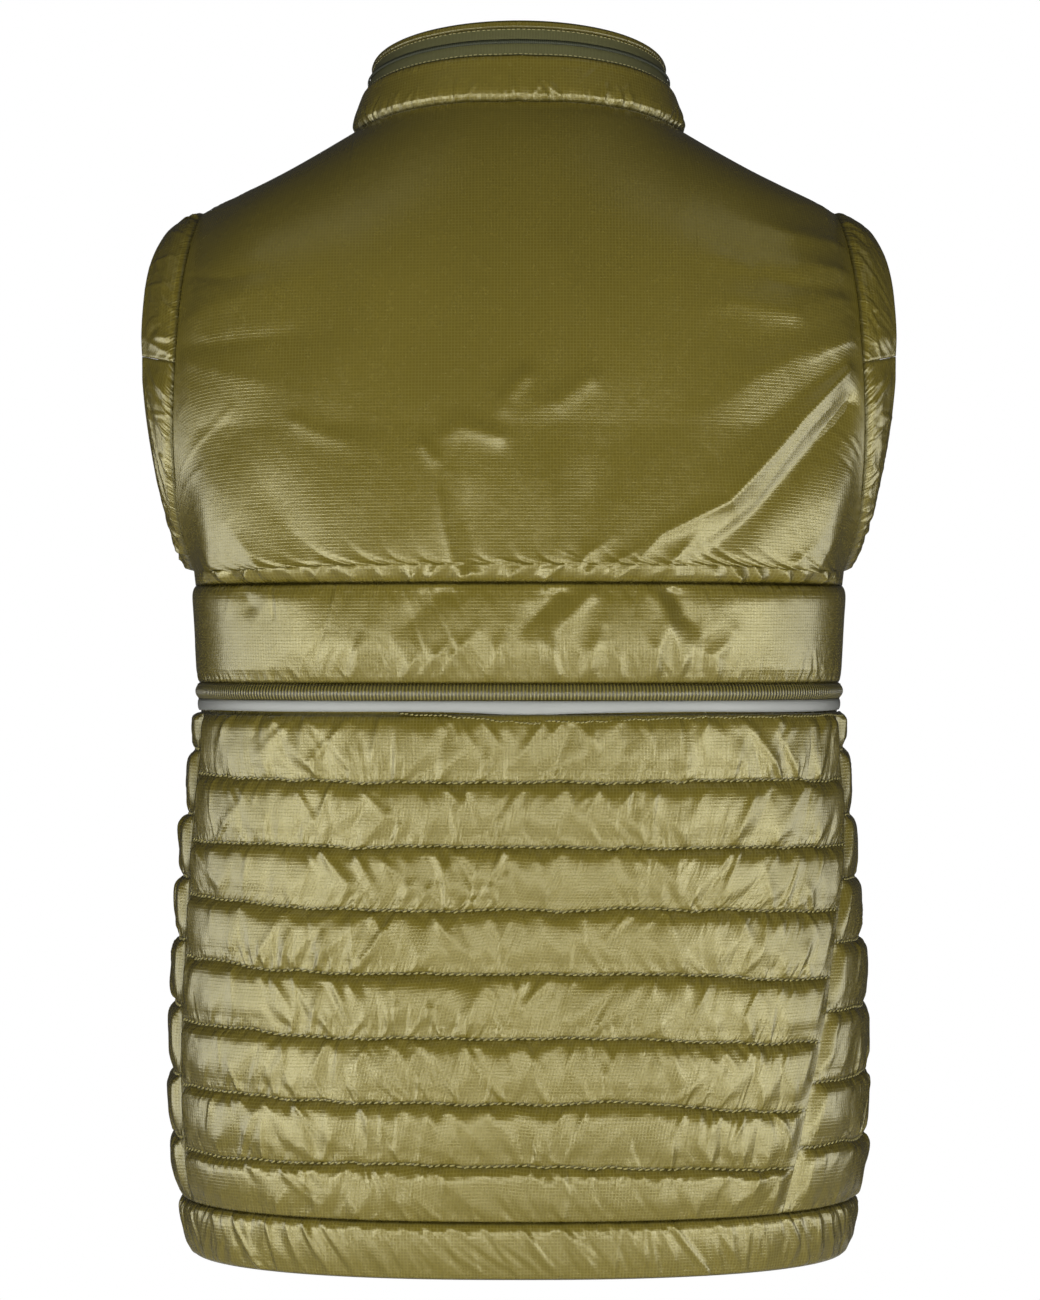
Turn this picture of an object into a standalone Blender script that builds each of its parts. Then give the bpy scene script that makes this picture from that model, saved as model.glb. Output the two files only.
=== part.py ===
"""Padded vest, zipped up and filled out with no wearer. Metres, +Z up, the front faces -Y.

The origin lies in the middle of the neck, at the height where the wearer's shoulders hold the vest.
Every piece is a closed wall: the padding pushes its outside out from a seam surface, its inside is plain.
"""

import math
from collections import namedtuple

import bmesh
import bpy
import numpy as np
from mathutils import Matrix, Vector

for old in list(bpy.data.objects):
    bpy.data.objects.remove(old, do_unlink=True)
PARTS = bpy.data.collections.new("padded_vest")
CUTTERS = bpy.data.collections.new("cutters")
bpy.context.scene.collection.children.link(PARTS)
bpy.context.scene.collection.children.link(CUTTERS)

# Driving dimensions
CLOTH = 0.0026  # shell, lining and the padding that the seams press flat between them
ZIP_CLOTH = 0.0020
STRIP_CLOTH = 0.0014
COIL = 0.0012
CHAIN = 0.0016
SEAM_GAP = 0.0003
YOKE_SEAM = -0.281
UNDERARM = -0.272
BAND_SEAM = -0.3395
WELT_SEAM = -0.3500
STRIP_EDGE = -0.3575
FRONT_SEAM = -0.3500
HEM_SEAM = -0.6495
HEM_EDGE = -0.6835
SQUARENESS = 2.35  # power of the round-cornered body section, 2 would be an ellipse
ZIP_HALF = 0.0100  # half the width of the tape that shows between the fronts
CHAIN_HALF = 0.0028
BACK_CHANNELS = (0.0392, 0.0341, 0.0398, 0.0364, 0.0363, 0.0381, 0.0352, 0.0329)
FRONT_CHANNELS = (0.0225, 0.0390, 0.0380, 0.0370, 0.0396, 0.0407, 0.0372, 0.0380)
HEM_GATHERS = 72

# How far the padding stands out of each piece
BACK_PUFF = 0.0054
FRONT_PUFF = 0.0052
BAND_PUFF = 0.0052
WELT_PUFF = 0.0022
YOKE_PUFF = 0.0065
ARMHOLE_PUFF = 0.0062
COLLAR_PUFF = 0.0048
COLLAR_TOP_PUFF = 0.0014
HEM_PUFF = 0.0036
HEM_FOLD = 0.0017

# Seam surface of the body, a round-cornered ring at each height
Section = namedtuple("Section", "height half_width back front")
BODY = (
    Section(-0.2720, 0.1965, 0.1290, 0.1320),
    Section(-0.2810, 0.1955, 0.1280, 0.1315),
    Section(-0.3395, 0.1932, 0.1240, 0.1290),
    Section(-0.3575, 0.1922, 0.1225, 0.1280),
    Section(-0.3970, 0.1955, 0.1235, 0.1290),
    Section(-0.4310, 0.1988, 0.1246, 0.1301),
    Section(-0.4710, 0.2016, 0.1266, 0.1316),
    Section(-0.5070, 0.2041, 0.1291, 0.1331),
    Section(-0.5430, 0.2061, 0.1321, 0.1351),
    Section(-0.5810, 0.2066, 0.1349, 0.1364),
    Section(-0.6170, 0.2053, 0.1358, 0.1363),
    Section(-0.6495, 0.2015, 0.1335, 0.1340),
    Section(-0.6835, 0.1965, 0.1290, 0.1295),
)

# Where the quilted back meets the quilted fronts, as angles round the ring from the wearer's left side
SideSeam = namedtuple("SideSeam", "height left right")
SIDE_SEAM = (
    SideSeam(-0.3500, 14.0, 167.0),
    SideSeam(-0.4100, 14.3, 166.0),
    SideSeam(-0.4450, 14.7, 162.0),
    SideSeam(-0.4820, 15.3, 155.0),
    SideSeam(-0.5240, 16.0, 149.0),
    SideSeam(-0.5920, 17.0, 140.5),
    SideSeam(-0.6495, 18.0, 136.0),
)

# Half-width of the vest at the armhole seam and at the free edge of the armhole band
ArmholeWidth = namedtuple("ArmholeWidth", "height seam")
ARMHOLE = (
    ArmholeWidth(-0.272, 0.1965),
    ArmholeWidth(-0.250, 0.2010),
    ArmholeWidth(-0.210, 0.2040),
    ArmholeWidth(-0.170, 0.2040),
    ArmholeWidth(-0.140, 0.2025),
    ArmholeWidth(-0.114, 0.2010),
    ArmholeWidth(-0.080, 0.1970),
    ArmholeWidth(-0.0545, 0.1920),
)
BandWidth = namedtuple("BandWidth", "height edge")
BAND_EDGE = (
    BandWidth(-0.245, 0.2040),
    BandWidth(-0.217, 0.2135),
    BandWidth(-0.185, 0.2200),
    BandWidth(-0.150, 0.2240),
    BandWidth(-0.120, 0.2245),
    BandWidth(-0.088, 0.2210),
    BandWidth(-0.066, 0.2130),
)
SHOULDER_TIP = -0.0545
ARMHOLE_BACK = 0.075
ARMHOLE_FRONT = 0.072
BAND_TOP = -0.066
BAND_BOTTOM = -0.245
BAND_BACK = 0.053
BAND_FRONT = 0.050

# Height of the shoulders' ridge at each distance from the middle. The neck hole is cut out of its middle.
Ridge = namedtuple("Ridge", "across height")
RIDGE = (
    Ridge(0.0000, 0.0340),
    Ridge(0.0300, 0.0300),
    Ridge(0.0600, 0.0180),
    Ridge(0.0980, -0.0055),
    Ridge(0.1400, -0.0300),
    Ridge(0.1920, -0.0545),
)

# How far the chest and the back stand out from the middle
Chest = namedtuple("Chest", "height back front")
CHEST = (
    Chest(-0.350, 0.1240, 0.1285),
    Chest(-0.281, 0.1280, 0.1315),
    Chest(-0.210, 0.1340, 0.1385),
    Chest(-0.120, 0.1355, 0.1400),
    Chest(0.000, 0.1350, 0.1390),
)

# Neck seam and collar
NECK_HALF = 0.0980
NECK_MIDDLE = -0.004
NECK_BACK = 0.072
NECK_FRONT = 0.080
COLLAR_HALF = 0.0865
COLLAR_MIDDLE = -0.008
COLLAR_BACK = 0.068
COLLAR_FRONT = 0.076
COLLAR_SIDE_HEIGHT = 0.0370
COLLAR_BACK_RISE = 0.0175
COLLAR_FRONT_DROP = 0.054
COLLAR_BAND_SHARE = 0.57
COLLAR_ZIP_SHARE = 0.90


def material(name, colour, roughness, metallic=0.0):
    made = bpy.data.materials.new(name)
    made.use_nodes = True
    shader = made.node_tree.nodes["Principled BSDF"]
    shader.inputs["Base Color"].default_value = (*colour, 1.0)
    shader.inputs["Roughness"].default_value = roughness
    shader.inputs["Metallic"].default_value = metallic
    made.diffuse_color = (*colour, 1.0)
    return made


def read(rows, column, at):
    """A column of a table at any height, on a smooth curve through its rows."""
    rows = sorted(rows)
    heights = np.array([row[0] for row in rows])
    values = np.array([getattr(row, column) for row in rows])
    slopes = np.gradient(values, heights)
    at = np.clip(at, heights[0], heights[-1])
    i = np.clip(np.searchsorted(heights, at) - 1, 0, len(rows) - 2)
    span = heights[i + 1] - heights[i]
    t = (at - heights[i]) / span
    start = (2 * t**3 - 3 * t**2 + 1) * values[i] + (t**3 - 2 * t**2 + t) * span * slopes[i]
    end = (3 * t**2 - 2 * t**3) * values[i + 1] + (t**3 - t**2) * span * slopes[i + 1]
    return start + end


def smoothstep(low, high, at):
    t = np.clip((at - low) / (high - low), 0.0, 1.0)
    return t * t * (3 - 2 * t)


def unit(vectors):
    return vectors / np.linalg.norm(vectors, axis=-1, keepdims=True)


def body_point(angle, height):
    """Point of the seam surface. Angle 0 is the wearer's left side, 90 the back and 270 the front."""
    turn = np.radians(angle)
    across = np.cos(turn)
    along = np.sin(turn)
    depth = np.where(along > 0, read(BODY, "back", height), read(BODY, "front", height))
    power = 2 / SQUARENESS
    x = read(BODY, "half_width", height) * np.sign(across) * np.abs(across) ** power
    y = depth * np.sign(along) * np.abs(along) ** power
    return np.stack([x, y, height + 0 * x], axis=-1)


def body_facing(angle, height):
    along = body_point(angle + 0.5, height) - body_point(angle - 0.5, height)
    rise = body_point(angle, height + 0.002) - body_point(angle, height - 0.002)
    return unit(np.cross(along, rise))


def body_grid(heights, left, right, columns):
    """Rows of points from the angle left(height) to right(height), with their outward directions."""
    share = np.linspace(0.0, 1.0, columns + 1)
    height = np.repeat(np.array(heights)[:, None], columns + 1, axis=1)
    angle = left(height) + (right(height) - left(height)) * share[None, :]
    return body_point(angle, height), body_facing(angle, height)


def grid_facing(points, centre):
    """Directions facing away from a centre, for a grid of points."""
    facing = unit(np.cross(np.gradient(points, axis=0), np.gradient(points, axis=1)))
    outward = np.sum(facing * (points - np.array(centre)), axis=-1).mean()
    return facing if outward > 0 else -facing


def pull_back(points, sides):
    """Moves the edge rows and columns in by half a seam gap, towards the next row or column."""
    points = points.copy()
    half = SEAM_GAP / 2
    ends = {"first": (0, 1), "last": (-1, -2)}
    for side in sides:
        end, kind = side.split("_")
        edge, inner = ends[end]
        if kind == "row":
            points[edge] += half * unit(points[inner] - points[edge])
        else:
            points[:, edge] += half * unit(points[:, inner] - points[:, edge])
    return points


ALL_SIDES = ("first_row", "last_row", "first_column", "last_column")
ENDS = ("first_column", "last_column")


def kept(count, step):
    """Every step-th index, with the last one."""
    return sorted(set(range(0, count, step)) | {count - 1})


def shell(name, grid, puff, finish, steps=(1, 1), sides=ALL_SIDES, lift=0.0, wall=CLOTH):
    """One closed wall on a grid of points and directions. puff is the padding's height over each point,
    steps are the rows and columns that the plain inside skips, and lift moves the whole wall out."""
    facing = grid[1]
    points = pull_back(grid[0], sides)
    outer = points + facing * (lift + wall / 2 + puff)[..., None]
    inner = points + facing * (lift - wall / 2)
    rows, columns = points.shape[:2]
    mesh = bmesh.new()
    out = [[mesh.verts.new(outer[i, j]) for j in range(columns)] for i in range(rows)]
    keep_rows = kept(rows, steps[0])
    keep_columns = kept(columns, steps[1])
    rim = {(i, j) for i in (0, rows - 1) for j in range(columns)}
    rim |= {(i, j) for i in range(rows) for j in (0, columns - 1)}
    corners = rim | {(i, j) for i in keep_rows for j in keep_columns}
    inside = {corner: mesh.verts.new(inner[corner]) for corner in sorted(corners)}
    for i in range(rows - 1):
        for j in range(columns - 1):
            mesh.faces.new((out[i][j], out[i][j + 1], out[i + 1][j + 1], out[i + 1][j]))
    for i, below in zip(keep_rows, keep_rows[1:]):
        for j, after in zip(keep_columns, keep_columns[1:]):
            down = [(k, j) for k in range(i, below)]
            forward = [(below, k) for k in range(j, after)]
            up = [(k, after) for k in range(below, i, -1)]
            back = [(i, k) for k in range(after, j, -1)]
            mesh.faces.new([inside[at] for at in down + forward + up + back if at in inside])
    for i in (0, rows - 1):
        for j in range(columns - 1):
            mesh.faces.new((inside[i, j + 1], inside[i, j], out[i][j], out[i][j + 1]))
    for j in (0, columns - 1):
        for i in range(rows - 1):
            mesh.faces.new((inside[i + 1, j], inside[i, j], out[i][j], out[i + 1][j]))
    bmesh.ops.recalc_face_normals(mesh, faces=mesh.faces)
    return finished(name, mesh, finish)


def finished(name, mesh, finish):
    data = bpy.data.meshes.new(name)
    mesh.to_mesh(data)
    mesh.free()
    data.materials.append(finish)
    data.shade_smooth()
    data.set_sharp_from_angle(angle=math.radians(50))
    made = bpy.data.objects.new(name, data)
    PARTS.objects.link(made)
    return made


def flat(grid):
    """No padding over any point of a grid."""
    return 0.0 * grid[0][..., 0]


def edge_fade(count, share):
    """0 on the first and last column, 1 away from them."""
    at = np.linspace(0.0, 1.0, count)
    return smoothstep(0.0, share, np.minimum(at, 1 - at))


# Quilted panels


def channel_rows(top, channels, last):
    """Row heights of quilted channels and how full the padding is on each row."""
    fill = ((0.0, 0.0), (0.17, 0.72), (0.50, 1.0), (0.83, 0.78))
    heights = []
    fullness = []
    for height in channels:
        for share, full in fill:
            heights.append(top - share * height)
            fullness.append(full)
        top -= height
    return heights + [last], np.array(fullness + [0.0])


def uneven(rows, columns, seed):
    """A gentle unevenness of the padding, from 0.85 to 1.15."""
    channel = np.arange(rows)[:, None] // 4
    column = np.arange(columns)[None, :]
    short = np.sin(1.3 * column + 2.1 * channel + seed)
    long = np.sin(0.55 * column - 1.7 * channel)
    return 1 + 0.09 * short + 0.06 * long


def side_left(height):
    return read(SIDE_SEAM, "left", height)


def side_right(height):
    return read(SIDE_SEAM, "right", height)


def zip_angle(height, reach):
    """Angle past the front middle at which the ring is this far from the middle plane."""
    across = (reach / read(BODY, "half_width", height)) ** (SQUARENESS / 2)
    return np.degrees(np.arcsin(across))


def front_edge_left(height):
    return -90 + zip_angle(height, ZIP_HALF + SEAM_GAP / 2)


def front_edge_right(height):
    return 270 - zip_angle(height, ZIP_HALF + SEAM_GAP / 2)


def quilted_panel(name, channels, left, right, columns, puff, seed):
    """Channels from the strip's lower edge to the hem, under a flat edge that the strip covers."""
    heights, fullness = channel_rows(STRIP_EDGE, channels, HEM_SEAM)
    heights = [WELT_SEAM] + heights
    fullness = np.concatenate([[0.0], fullness])
    grid = body_grid(heights, left, right, columns)
    fade = edge_fade(columns + 1, 1.6 / columns)
    form = fullness[:, None] * fade[None, :] * uneven(len(heights), columns + 1, seed)
    shell(name, grid, puff * form, OLIVE, steps=(4, 2))


def build_lower_panels():
    left, right = front_edge_left, front_edge_right
    quilted_panel("back_lower", BACK_CHANNELS, side_left, side_right, 28, BACK_PUFF, 0.4)
    quilted_panel("front_lower_left", FRONT_CHANNELS, left, side_left, 20, FRONT_PUFF, 1.9)
    quilted_panel("front_lower_right", FRONT_CHANNELS, side_right, right, 20, FRONT_PUFF, 3.3)


def build_back_trim():
    """Padded band, corded welt and reflective strip, between the yoke and the quilted panel."""

    def left(height):
        return 0.0 * height

    def right(height):
        return 180.0 + 0.0 * height

    roll_in = 0.012
    columns = 24
    middle = (YOKE_SEAM + BAND_SEAM) / 2
    heights = (YOKE_SEAM, YOKE_SEAM - roll_in, middle, BAND_SEAM + roll_in, BAND_SEAM)
    fill = np.array([0.0, 0.75, 1.0, 0.8, 0.0])[:, None] * edge_fade(columns + 1, 0.06)[None, :]
    fill = fill * uneven(5, columns + 1, 0.9)
    grid = body_grid(heights, left, right, columns)
    shell("back_band", grid, BAND_PUFF * fill, OLIVE, steps=(4, 2))

    roll_in = 0.0022
    middle = (BAND_SEAM + WELT_SEAM) / 2
    heights = (BAND_SEAM, BAND_SEAM - roll_in, middle, WELT_SEAM + roll_in, WELT_SEAM)
    fill = np.array([0.0, 0.8, 1.0, 0.8, 0.0])[:, None] * np.ones((1, columns + 1))
    grid = body_grid(heights, left, right, columns)
    shell("back_welt", grid, WELT_PUFF * fill, OLIVE, steps=(4, 2))

    grid = body_grid((WELT_SEAM, STRIP_EDGE), left, right, 44)
    lift = CLOTH / 2 + 2 * SEAM_GAP + STRIP_CLOTH / 2
    shell("reflective_strip", grid, flat(grid), SILVER, lift=lift, wall=STRIP_CLOTH)


# Yoke and upper fronts


def roundness(x, back):
    """Power of the curve over the shoulder at each distance from the middle."""
    tip = smoothstep(0.06, 0.19, np.abs(x))
    return 2.4 + 0.4 * tip if back else 1.7 + 0.7 * tip


def upper_depth(x, z, back):
    """How far forward or back the upper body lies, before the armholes cut into it."""
    bottom = YOKE_SEAM if back else FRONT_SEAM
    power = roundness(x, back)
    rise = np.clip((z - bottom) / (read(RIDGE, "height", np.abs(x)) - bottom), 0, 1)
    level = read(CHEST, "back", z) if back else -read(CHEST, "front", z)
    return NECK_MIDDLE + (level - NECK_MIDDLE) * (1 - rise**power) ** (1 / power)


def neck_ring(turn, back):
    """Points of the neck seam on the wearer's left, from the middle (0) to the shoulder (90)."""
    turn = np.radians(turn)
    x = NECK_HALF * np.sin(turn)
    reach = (NECK_BACK if back else NECK_FRONT) * np.cos(turn)
    bottom = YOKE_SEAM if back else FRONT_SEAM
    level = read(CHEST, "back" if back else "front", 0.0) + (-NECK_MIDDLE if back else NECK_MIDDLE)
    power = roundness(x, back)
    rise = (1 - (reach / level) ** power) ** (1 / power)
    z = bottom + (read(RIDGE, "height", x) - bottom) * rise
    return x, NECK_MIDDLE + (reach if back else -reach), z


def neck_rim(x, y):
    """Direction through the wall at the neck seam, shared by the body and the collar."""
    out = unit(np.stack([x, y - NECK_MIDDLE], axis=-1))
    return unit(np.concatenate([out, 0.75 + 0 * out[..., :1]], axis=-1))


def neck_turns(back):
    inner = 0.0 if back else math.degrees(math.asin((ZIP_HALF + SEAM_GAP / 2) / NECK_HALF))
    return inner + (90 - inner) * np.linspace(0.0, 1.0, 8)


SHOULDER_SHARES = np.linspace(0.0, 1.0, 7)[1:]
ARMHOLE_TURNS = np.array([0.0, 14.0, 30.0, 50.0, 75.0, 97.0, 120.0, 140.0, 156.0, 169.0, 180.0])


def top_edge(back):
    """The neck seam and then the shoulder seam, from the middle to the shoulder tip."""
    x, y, z = neck_ring(neck_turns(back), back)
    tip = read(ARMHOLE, "seam", SHOULDER_TIP)
    shoulder_x = x[-1] + (tip - x[-1]) * SHOULDER_SHARES
    x = np.concatenate([x, shoulder_x])
    y = np.concatenate([y, NECK_MIDDLE + 0 * shoulder_x])
    z = np.concatenate([z, read(RIDGE, "height", shoulder_x)])
    return x, y, z


def armhole_y(turn, depth):
    """The armhole leans from the middle of the side seam to the shoulder ridge."""
    return depth * np.sin(turn) + NECK_MIDDLE * (1 - np.cos(turn)) / 2


def armhole_point(turn, back):
    """Point of the armhole seam, from the underarm (0) to the shoulder tip (180), on the wearer's left."""
    turn = np.radians(turn)
    middle = (SHOULDER_TIP + UNDERARM) / 2
    height = middle - (SHOULDER_TIP - UNDERARM) / 2 * np.cos(turn)
    depth = ARMHOLE_BACK if back else -ARMHOLE_FRONT
    return read(ARMHOLE, "seam", height), armhole_y(turn, depth), height


def armhole_rim(turn, back):
    """Direction through the wall at the armhole seam, shared by the body and the armhole band."""
    turn = np.radians(turn)
    side = 1.0 if back else -1.0
    x = 0.72 + 0.28 * np.cos(turn)
    z = 0.89 * np.maximum(0.0, -np.cos(turn)) - 0.1 * np.maximum(0.0, np.cos(turn))
    return unit(np.stack([x, side * np.sin(turn), z], axis=-1))


def upper_half(back):
    """Grid of the yoke's or front's left half, bottom row first, from the middle out to the armhole."""
    bottom = YOKE_SEAM if back else FRONT_SEAM
    below = (bottom,) if back else (bottom, -0.330, -0.305, YOKE_SEAM)
    inner = 0.0 if back else ZIP_HALF + SEAM_GAP / 2
    top_x, top_y, top_z = top_edge(back)
    share = (top_x - inner) / (top_x[-1] - inner)
    hole_x, hole_y, hole_z = armhole_point(ARMHOLE_TURNS, back)
    edge_x = np.concatenate([read(BODY, "half_width", np.array(below)), hole_x])
    edge_y = np.concatenate([np.zeros(len(below)), hole_y])
    edge_z = np.concatenate([below, hole_z])
    rise = (edge_z - bottom) / (SHOULDER_TIP - bottom)

    x = inner + (edge_x[:, None] - inner) * share[None, :]
    z = bottom + (top_z[None, :] - bottom) * rise[:, None]
    # Each level is a body ring that the armhole cuts short where it is as deep as the armhole seam
    side = 1.0 if back else -1.0
    lean = np.concatenate([np.zeros(len(below)), armhole_y(np.radians(ARMHOLE_TURNS), 0.0)])
    reach = side * (upper_depth(x, z, back) - lean[:, None])
    hole_reach = side * (edge_y - lean)
    width = x / edge_x[:, None]
    cut_share = np.clip(hole_reach / np.maximum(reach[:, -1], 1e-6), 0, 1)
    cut_width = (1 - cut_share**SQUARENESS) ** (1 / SQUARENESS) * (1 - smoothstep(0.50, 0.98, rise))
    reach = reach * np.clip(1 - (width * cut_width[:, None]) ** SQUARENESS, 0, 1) ** (1 / SQUARENESS)
    reach = reach + (hole_reach - reach[:, -1])[:, None] * width**5
    points = np.stack([x, lean[:, None] + side * reach, z], axis=-1)

    facing = grid_facing(points, (0.0, 0.0, -0.2))
    turn = np.degrees(np.arccos(np.clip(width[0], 0, 1) ** (SQUARENESS / 2))) * (1 if back else -1)
    facing[0] = body_facing(turn, bottom + 0 * turn)
    sides = np.array(below)
    facing[: len(below), -1] = body_facing(0 * sides, sides)
    neck = len(neck_turns(back))
    facing[-1, :neck] = neck_rim(points[-1, :neck, 0], points[-1, :neck, 1])
    facing[-1, neck:] = unit(np.array([0.477, 0.0, 0.879]))
    facing[len(below) :, -1] = armhole_rim(ARMHOLE_TURNS, back)
    if not back:
        facing[:, 0, 0] = 0.0
        facing = unit(facing)
    return points, facing


def mirrored(points, facing):
    flip = np.array([-1.0, 1.0, 1.0])
    return points[:, ::-1] * flip, facing[:, ::-1] * flip


def padding(rows, columns, inner_edge):
    """Padding height from the bottom row to the top row of a half panel."""
    row = np.linspace(0.0, 1.0, rows)
    column = np.linspace(0.0, 1.0, columns)
    fade = smoothstep(0.0, 0.14, row) * smoothstep(0.0, 0.16, 1 - row)
    side = smoothstep(0.0, 0.14, 1 - column)
    if inner_edge:
        side = side * smoothstep(0.0, 0.16, column)
    return YOKE_PUFF * fade[:, None] * side[None, :]


def build_upper_panels():
    points, facing = upper_half(True)
    puff = padding(*points.shape[:2], False)
    other, other_facing = mirrored(points, facing)
    points = np.concatenate([other[:, :-1], points], axis=1)
    facing = np.concatenate([other_facing[:, :-1], facing], axis=1)
    puff = np.concatenate([puff[:, :0:-1], puff], axis=1)
    shell("back_yoke", (points, facing), puff * yoke_folds(points), OLIVE, steps=(2, 2))
    grid = upper_half(False)
    puff = padding(*grid[0].shape[:2], True)
    shell("front_upper_left", grid, puff, OLIVE, steps=(2, 2))
    shell("front_upper_right", mirrored(*grid), puff[:, ::-1], OLIVE, steps=(2, 2))


def yoke_folds(points):
    """The long soft folds that run down from the wearer's right armhole across the yoke."""
    x = points[..., 0]
    z = points[..., 2]
    across = (z + 0.105) * 0.78 - (x + 0.190) * 0.62
    near = smoothstep(0.24, 0.02, np.hypot(x + 0.19, z + 0.15))
    return 1 + 0.35 * near * np.cos(across / 0.045 * math.pi)


# Armhole bands


def band_loop(share):
    """Closed loop of armhole points at a share of the band's width, underarm - back - shoulder - front."""
    turns = ARMHOLE_TURNS
    loop = []
    for back, order in ((True, turns), (False, turns[-2:0:-1])):
        x, y, z = armhole_point(order, back)
        turn = np.radians(order)
        middle = (BAND_TOP + BAND_BOTTOM) / 2
        edge_z = middle - (BAND_TOP - BAND_BOTTOM) / 2 * np.cos(turn)
        edge_x = read(BAND_EDGE, "edge", edge_z)
        edge_y = armhole_y(turn, BAND_BACK if back else -BAND_FRONT)
        seam = np.stack([x, y, z], axis=-1)
        edge = np.stack([edge_x, edge_y, edge_z], axis=-1)
        loop.append(seam + (edge - seam) * share)
    return np.concatenate(loop)


def loop_rims():
    turns = ARMHOLE_TURNS
    return np.concatenate([armhole_rim(turns, True), armhole_rim(turns[-2:0:-1], False)])


def build_armhole_bands():
    """A padded band on each side. Its upper and lower piece meet at a cross seam front and back."""
    shares = np.array([0.0, 0.12, 0.35, 0.65, 0.90, 1.0])
    full = np.array([0.0, 0.62, 1.0, 0.95, 0.50, 0.0])
    loop = np.stack([band_loop(share) for share in shares])
    closed = np.concatenate([loop[:, -1:], loop, loop[:, :2]], axis=1)
    centre = np.array([0.120, 0.0, (SHOULDER_TIP + UNDERARM) / 2])
    facing = grid_facing(closed, centre)[:, 1:-1]
    outward = np.sum(facing * (closed[:, 1:-1] - centre), axis=-1, keepdims=True)
    facing = facing * np.sign(outward)
    points = closed[:, 1:-1]
    rims = loop_rims()
    facing[0] = np.concatenate([rims, rims[:1]])
    cross = int(np.where(ARMHOLE_TURNS == 97.0)[0][0])
    last = len(rims)
    stretches = {"lower": (last - cross, last + cross), "upper": (cross, last - cross)}
    wrapped = np.concatenate([points[:, :-1], points[:, :-1]], axis=1)
    wrapped_facing = np.concatenate([facing[:, :-1], facing[:, :-1]], axis=1)
    for level, (start, stop) in stretches.items():
        part = wrapped[:, start : stop + 1]
        part_facing = wrapped_facing[:, start : stop + 1]
        puff = ARMHOLE_PUFF * full[:, None] * edge_fade(part.shape[1], 0.10)[None, :]
        sides = ("first_row", *ENDS)
        name = f"armhole_band_{level}_"
        shell(name + "left", (part, part_facing), puff, OLIVE, sides=sides)
        shell(name + "right", mirrored(part, part_facing), puff[:, ::-1], OLIVE, sides=sides)


# Collar


def collar_grid(shares):
    """Grid of the collar, from its left front edge round the back to its right front edge."""
    back = neck_turns(True)
    front = neck_turns(False)
    rows = []
    for turns, is_back in ((front, False), (back, True)):
        x, y, z = neck_ring(turns, is_back)
        seam = np.stack([x, y, z], axis=-1)
        angle = np.radians(turns)
        depth = COLLAR_BACK if is_back else -COLLAR_FRONT
        top_x = COLLAR_HALF * np.sin(angle)
        if not is_back:
            top_x = np.maximum(top_x, ZIP_HALF + SEAM_GAP / 2)
        top_y = COLLAR_MIDDLE + depth * np.cos(angle)
        change = COLLAR_BACK_RISE * np.cos(angle) if is_back else -COLLAR_FRONT_DROP * np.cos(angle) ** 1.2
        top = np.stack([top_x, top_y, COLLAR_SIDE_HEIGHT + change], axis=-1)
        rows.append((seam, top))
    seam = np.concatenate([rows[0][0], rows[1][0][-2::-1]])
    top = np.concatenate([rows[0][1], rows[1][1][-2::-1]])
    flip = np.array([-1.0, 1.0, 1.0])
    seam = np.concatenate([seam, seam[-2::-1] * flip])
    top = np.concatenate([top, top[-2::-1] * flip])
    shares = np.array(shares)[:, None, None]
    bow = 0.0015 * np.sin(np.pi * shares)
    points = seam[None] + (top - seam)[None] * shares
    facing = grid_facing(points, (0.0, COLLAR_MIDDLE, 0.0))
    points = points + facing * bow
    facing[:, 0, 0] = 0.0
    facing[:, -1, 0] = 0.0
    facing = unit(facing)
    if shares[0, 0, 0] == 0.0:
        facing[0] = neck_rim(points[0, :, 0], points[0, :, 1])
    return points, facing


COIL_ROWS = (0.70, 0.735, 0.77)


def build_collar():
    """Padded band, a zip across it all round, and a narrow strip along the top."""
    grid = collar_grid((0.0, 0.10, 0.30, 0.46, COLLAR_BAND_SHARE))
    count = grid[0].shape[1]
    fill = np.array([0.0, 0.7, 1.0, 0.8, 0.0])[:, None] * edge_fade(count, 0.06)[None, :]
    shell("collar_band", grid, COLLAR_PUFF * fill, OLIVE, steps=(4, 1))

    grid = collar_grid((COLLAR_BAND_SHARE, 0.73, COLLAR_ZIP_SHARE))
    shell("collar_zip_tapes", grid, flat(grid), TAPE, steps=(2, 1), wall=ZIP_CLOTH)

    grid = collar_grid(COIL_ROWS)
    round_coil = np.array([0.0, COIL / 2, 0.0])[:, None] * np.ones((1, count))
    lift = ZIP_CLOTH / 2 + SEAM_GAP + COIL / 2
    shell("collar_zip_coil", grid, round_coil, TEETH, lift=lift, wall=COIL, sides=ENDS)

    grid = collar_grid((COLLAR_ZIP_SHARE, 0.925, 0.97, 1.0))
    fill = np.array([0.0, 1.0, 0.9, 0.0])[:, None] * edge_fade(count, 0.04)[None, :]
    shell("collar_top_strip", grid, COLLAR_TOP_PUFF * fill, OLIVE, steps=(3, 1))


# Hem


def build_hem_band():
    """Elastic band in one length, gathered into uneven upright folds."""
    steps = 3
    columns = HEM_GATHERS * steps
    heights = (HEM_SEAM, HEM_SEAM - 0.006, HEM_SEAM - 0.018, HEM_EDGE + 0.005, HEM_EDGE)
    grid = body_grid(heights, front_edge_left, front_edge_right, columns)
    column = np.arange(columns + 1)
    crest = np.where(column % steps == 1, 1.0, 0.0)
    wave = crest * (0.75 + 0.25 * np.sin(0.83 * column) * np.sin(0.29 * column))
    fill = HEM_PUFF * np.array([0.0, 0.72, 1.0, 0.83, 0.17])
    depth = HEM_FOLD * np.array([0.0, 0.59, 1.0, 0.76, 0.24])
    puff = fill[:, None] * edge_fade(columns + 1, 0.01)[None, :] + depth[:, None] * wave[None, :]
    shell("hem_band", grid, puff, OLIVE, steps=(4, steps))


# Front zip


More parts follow.
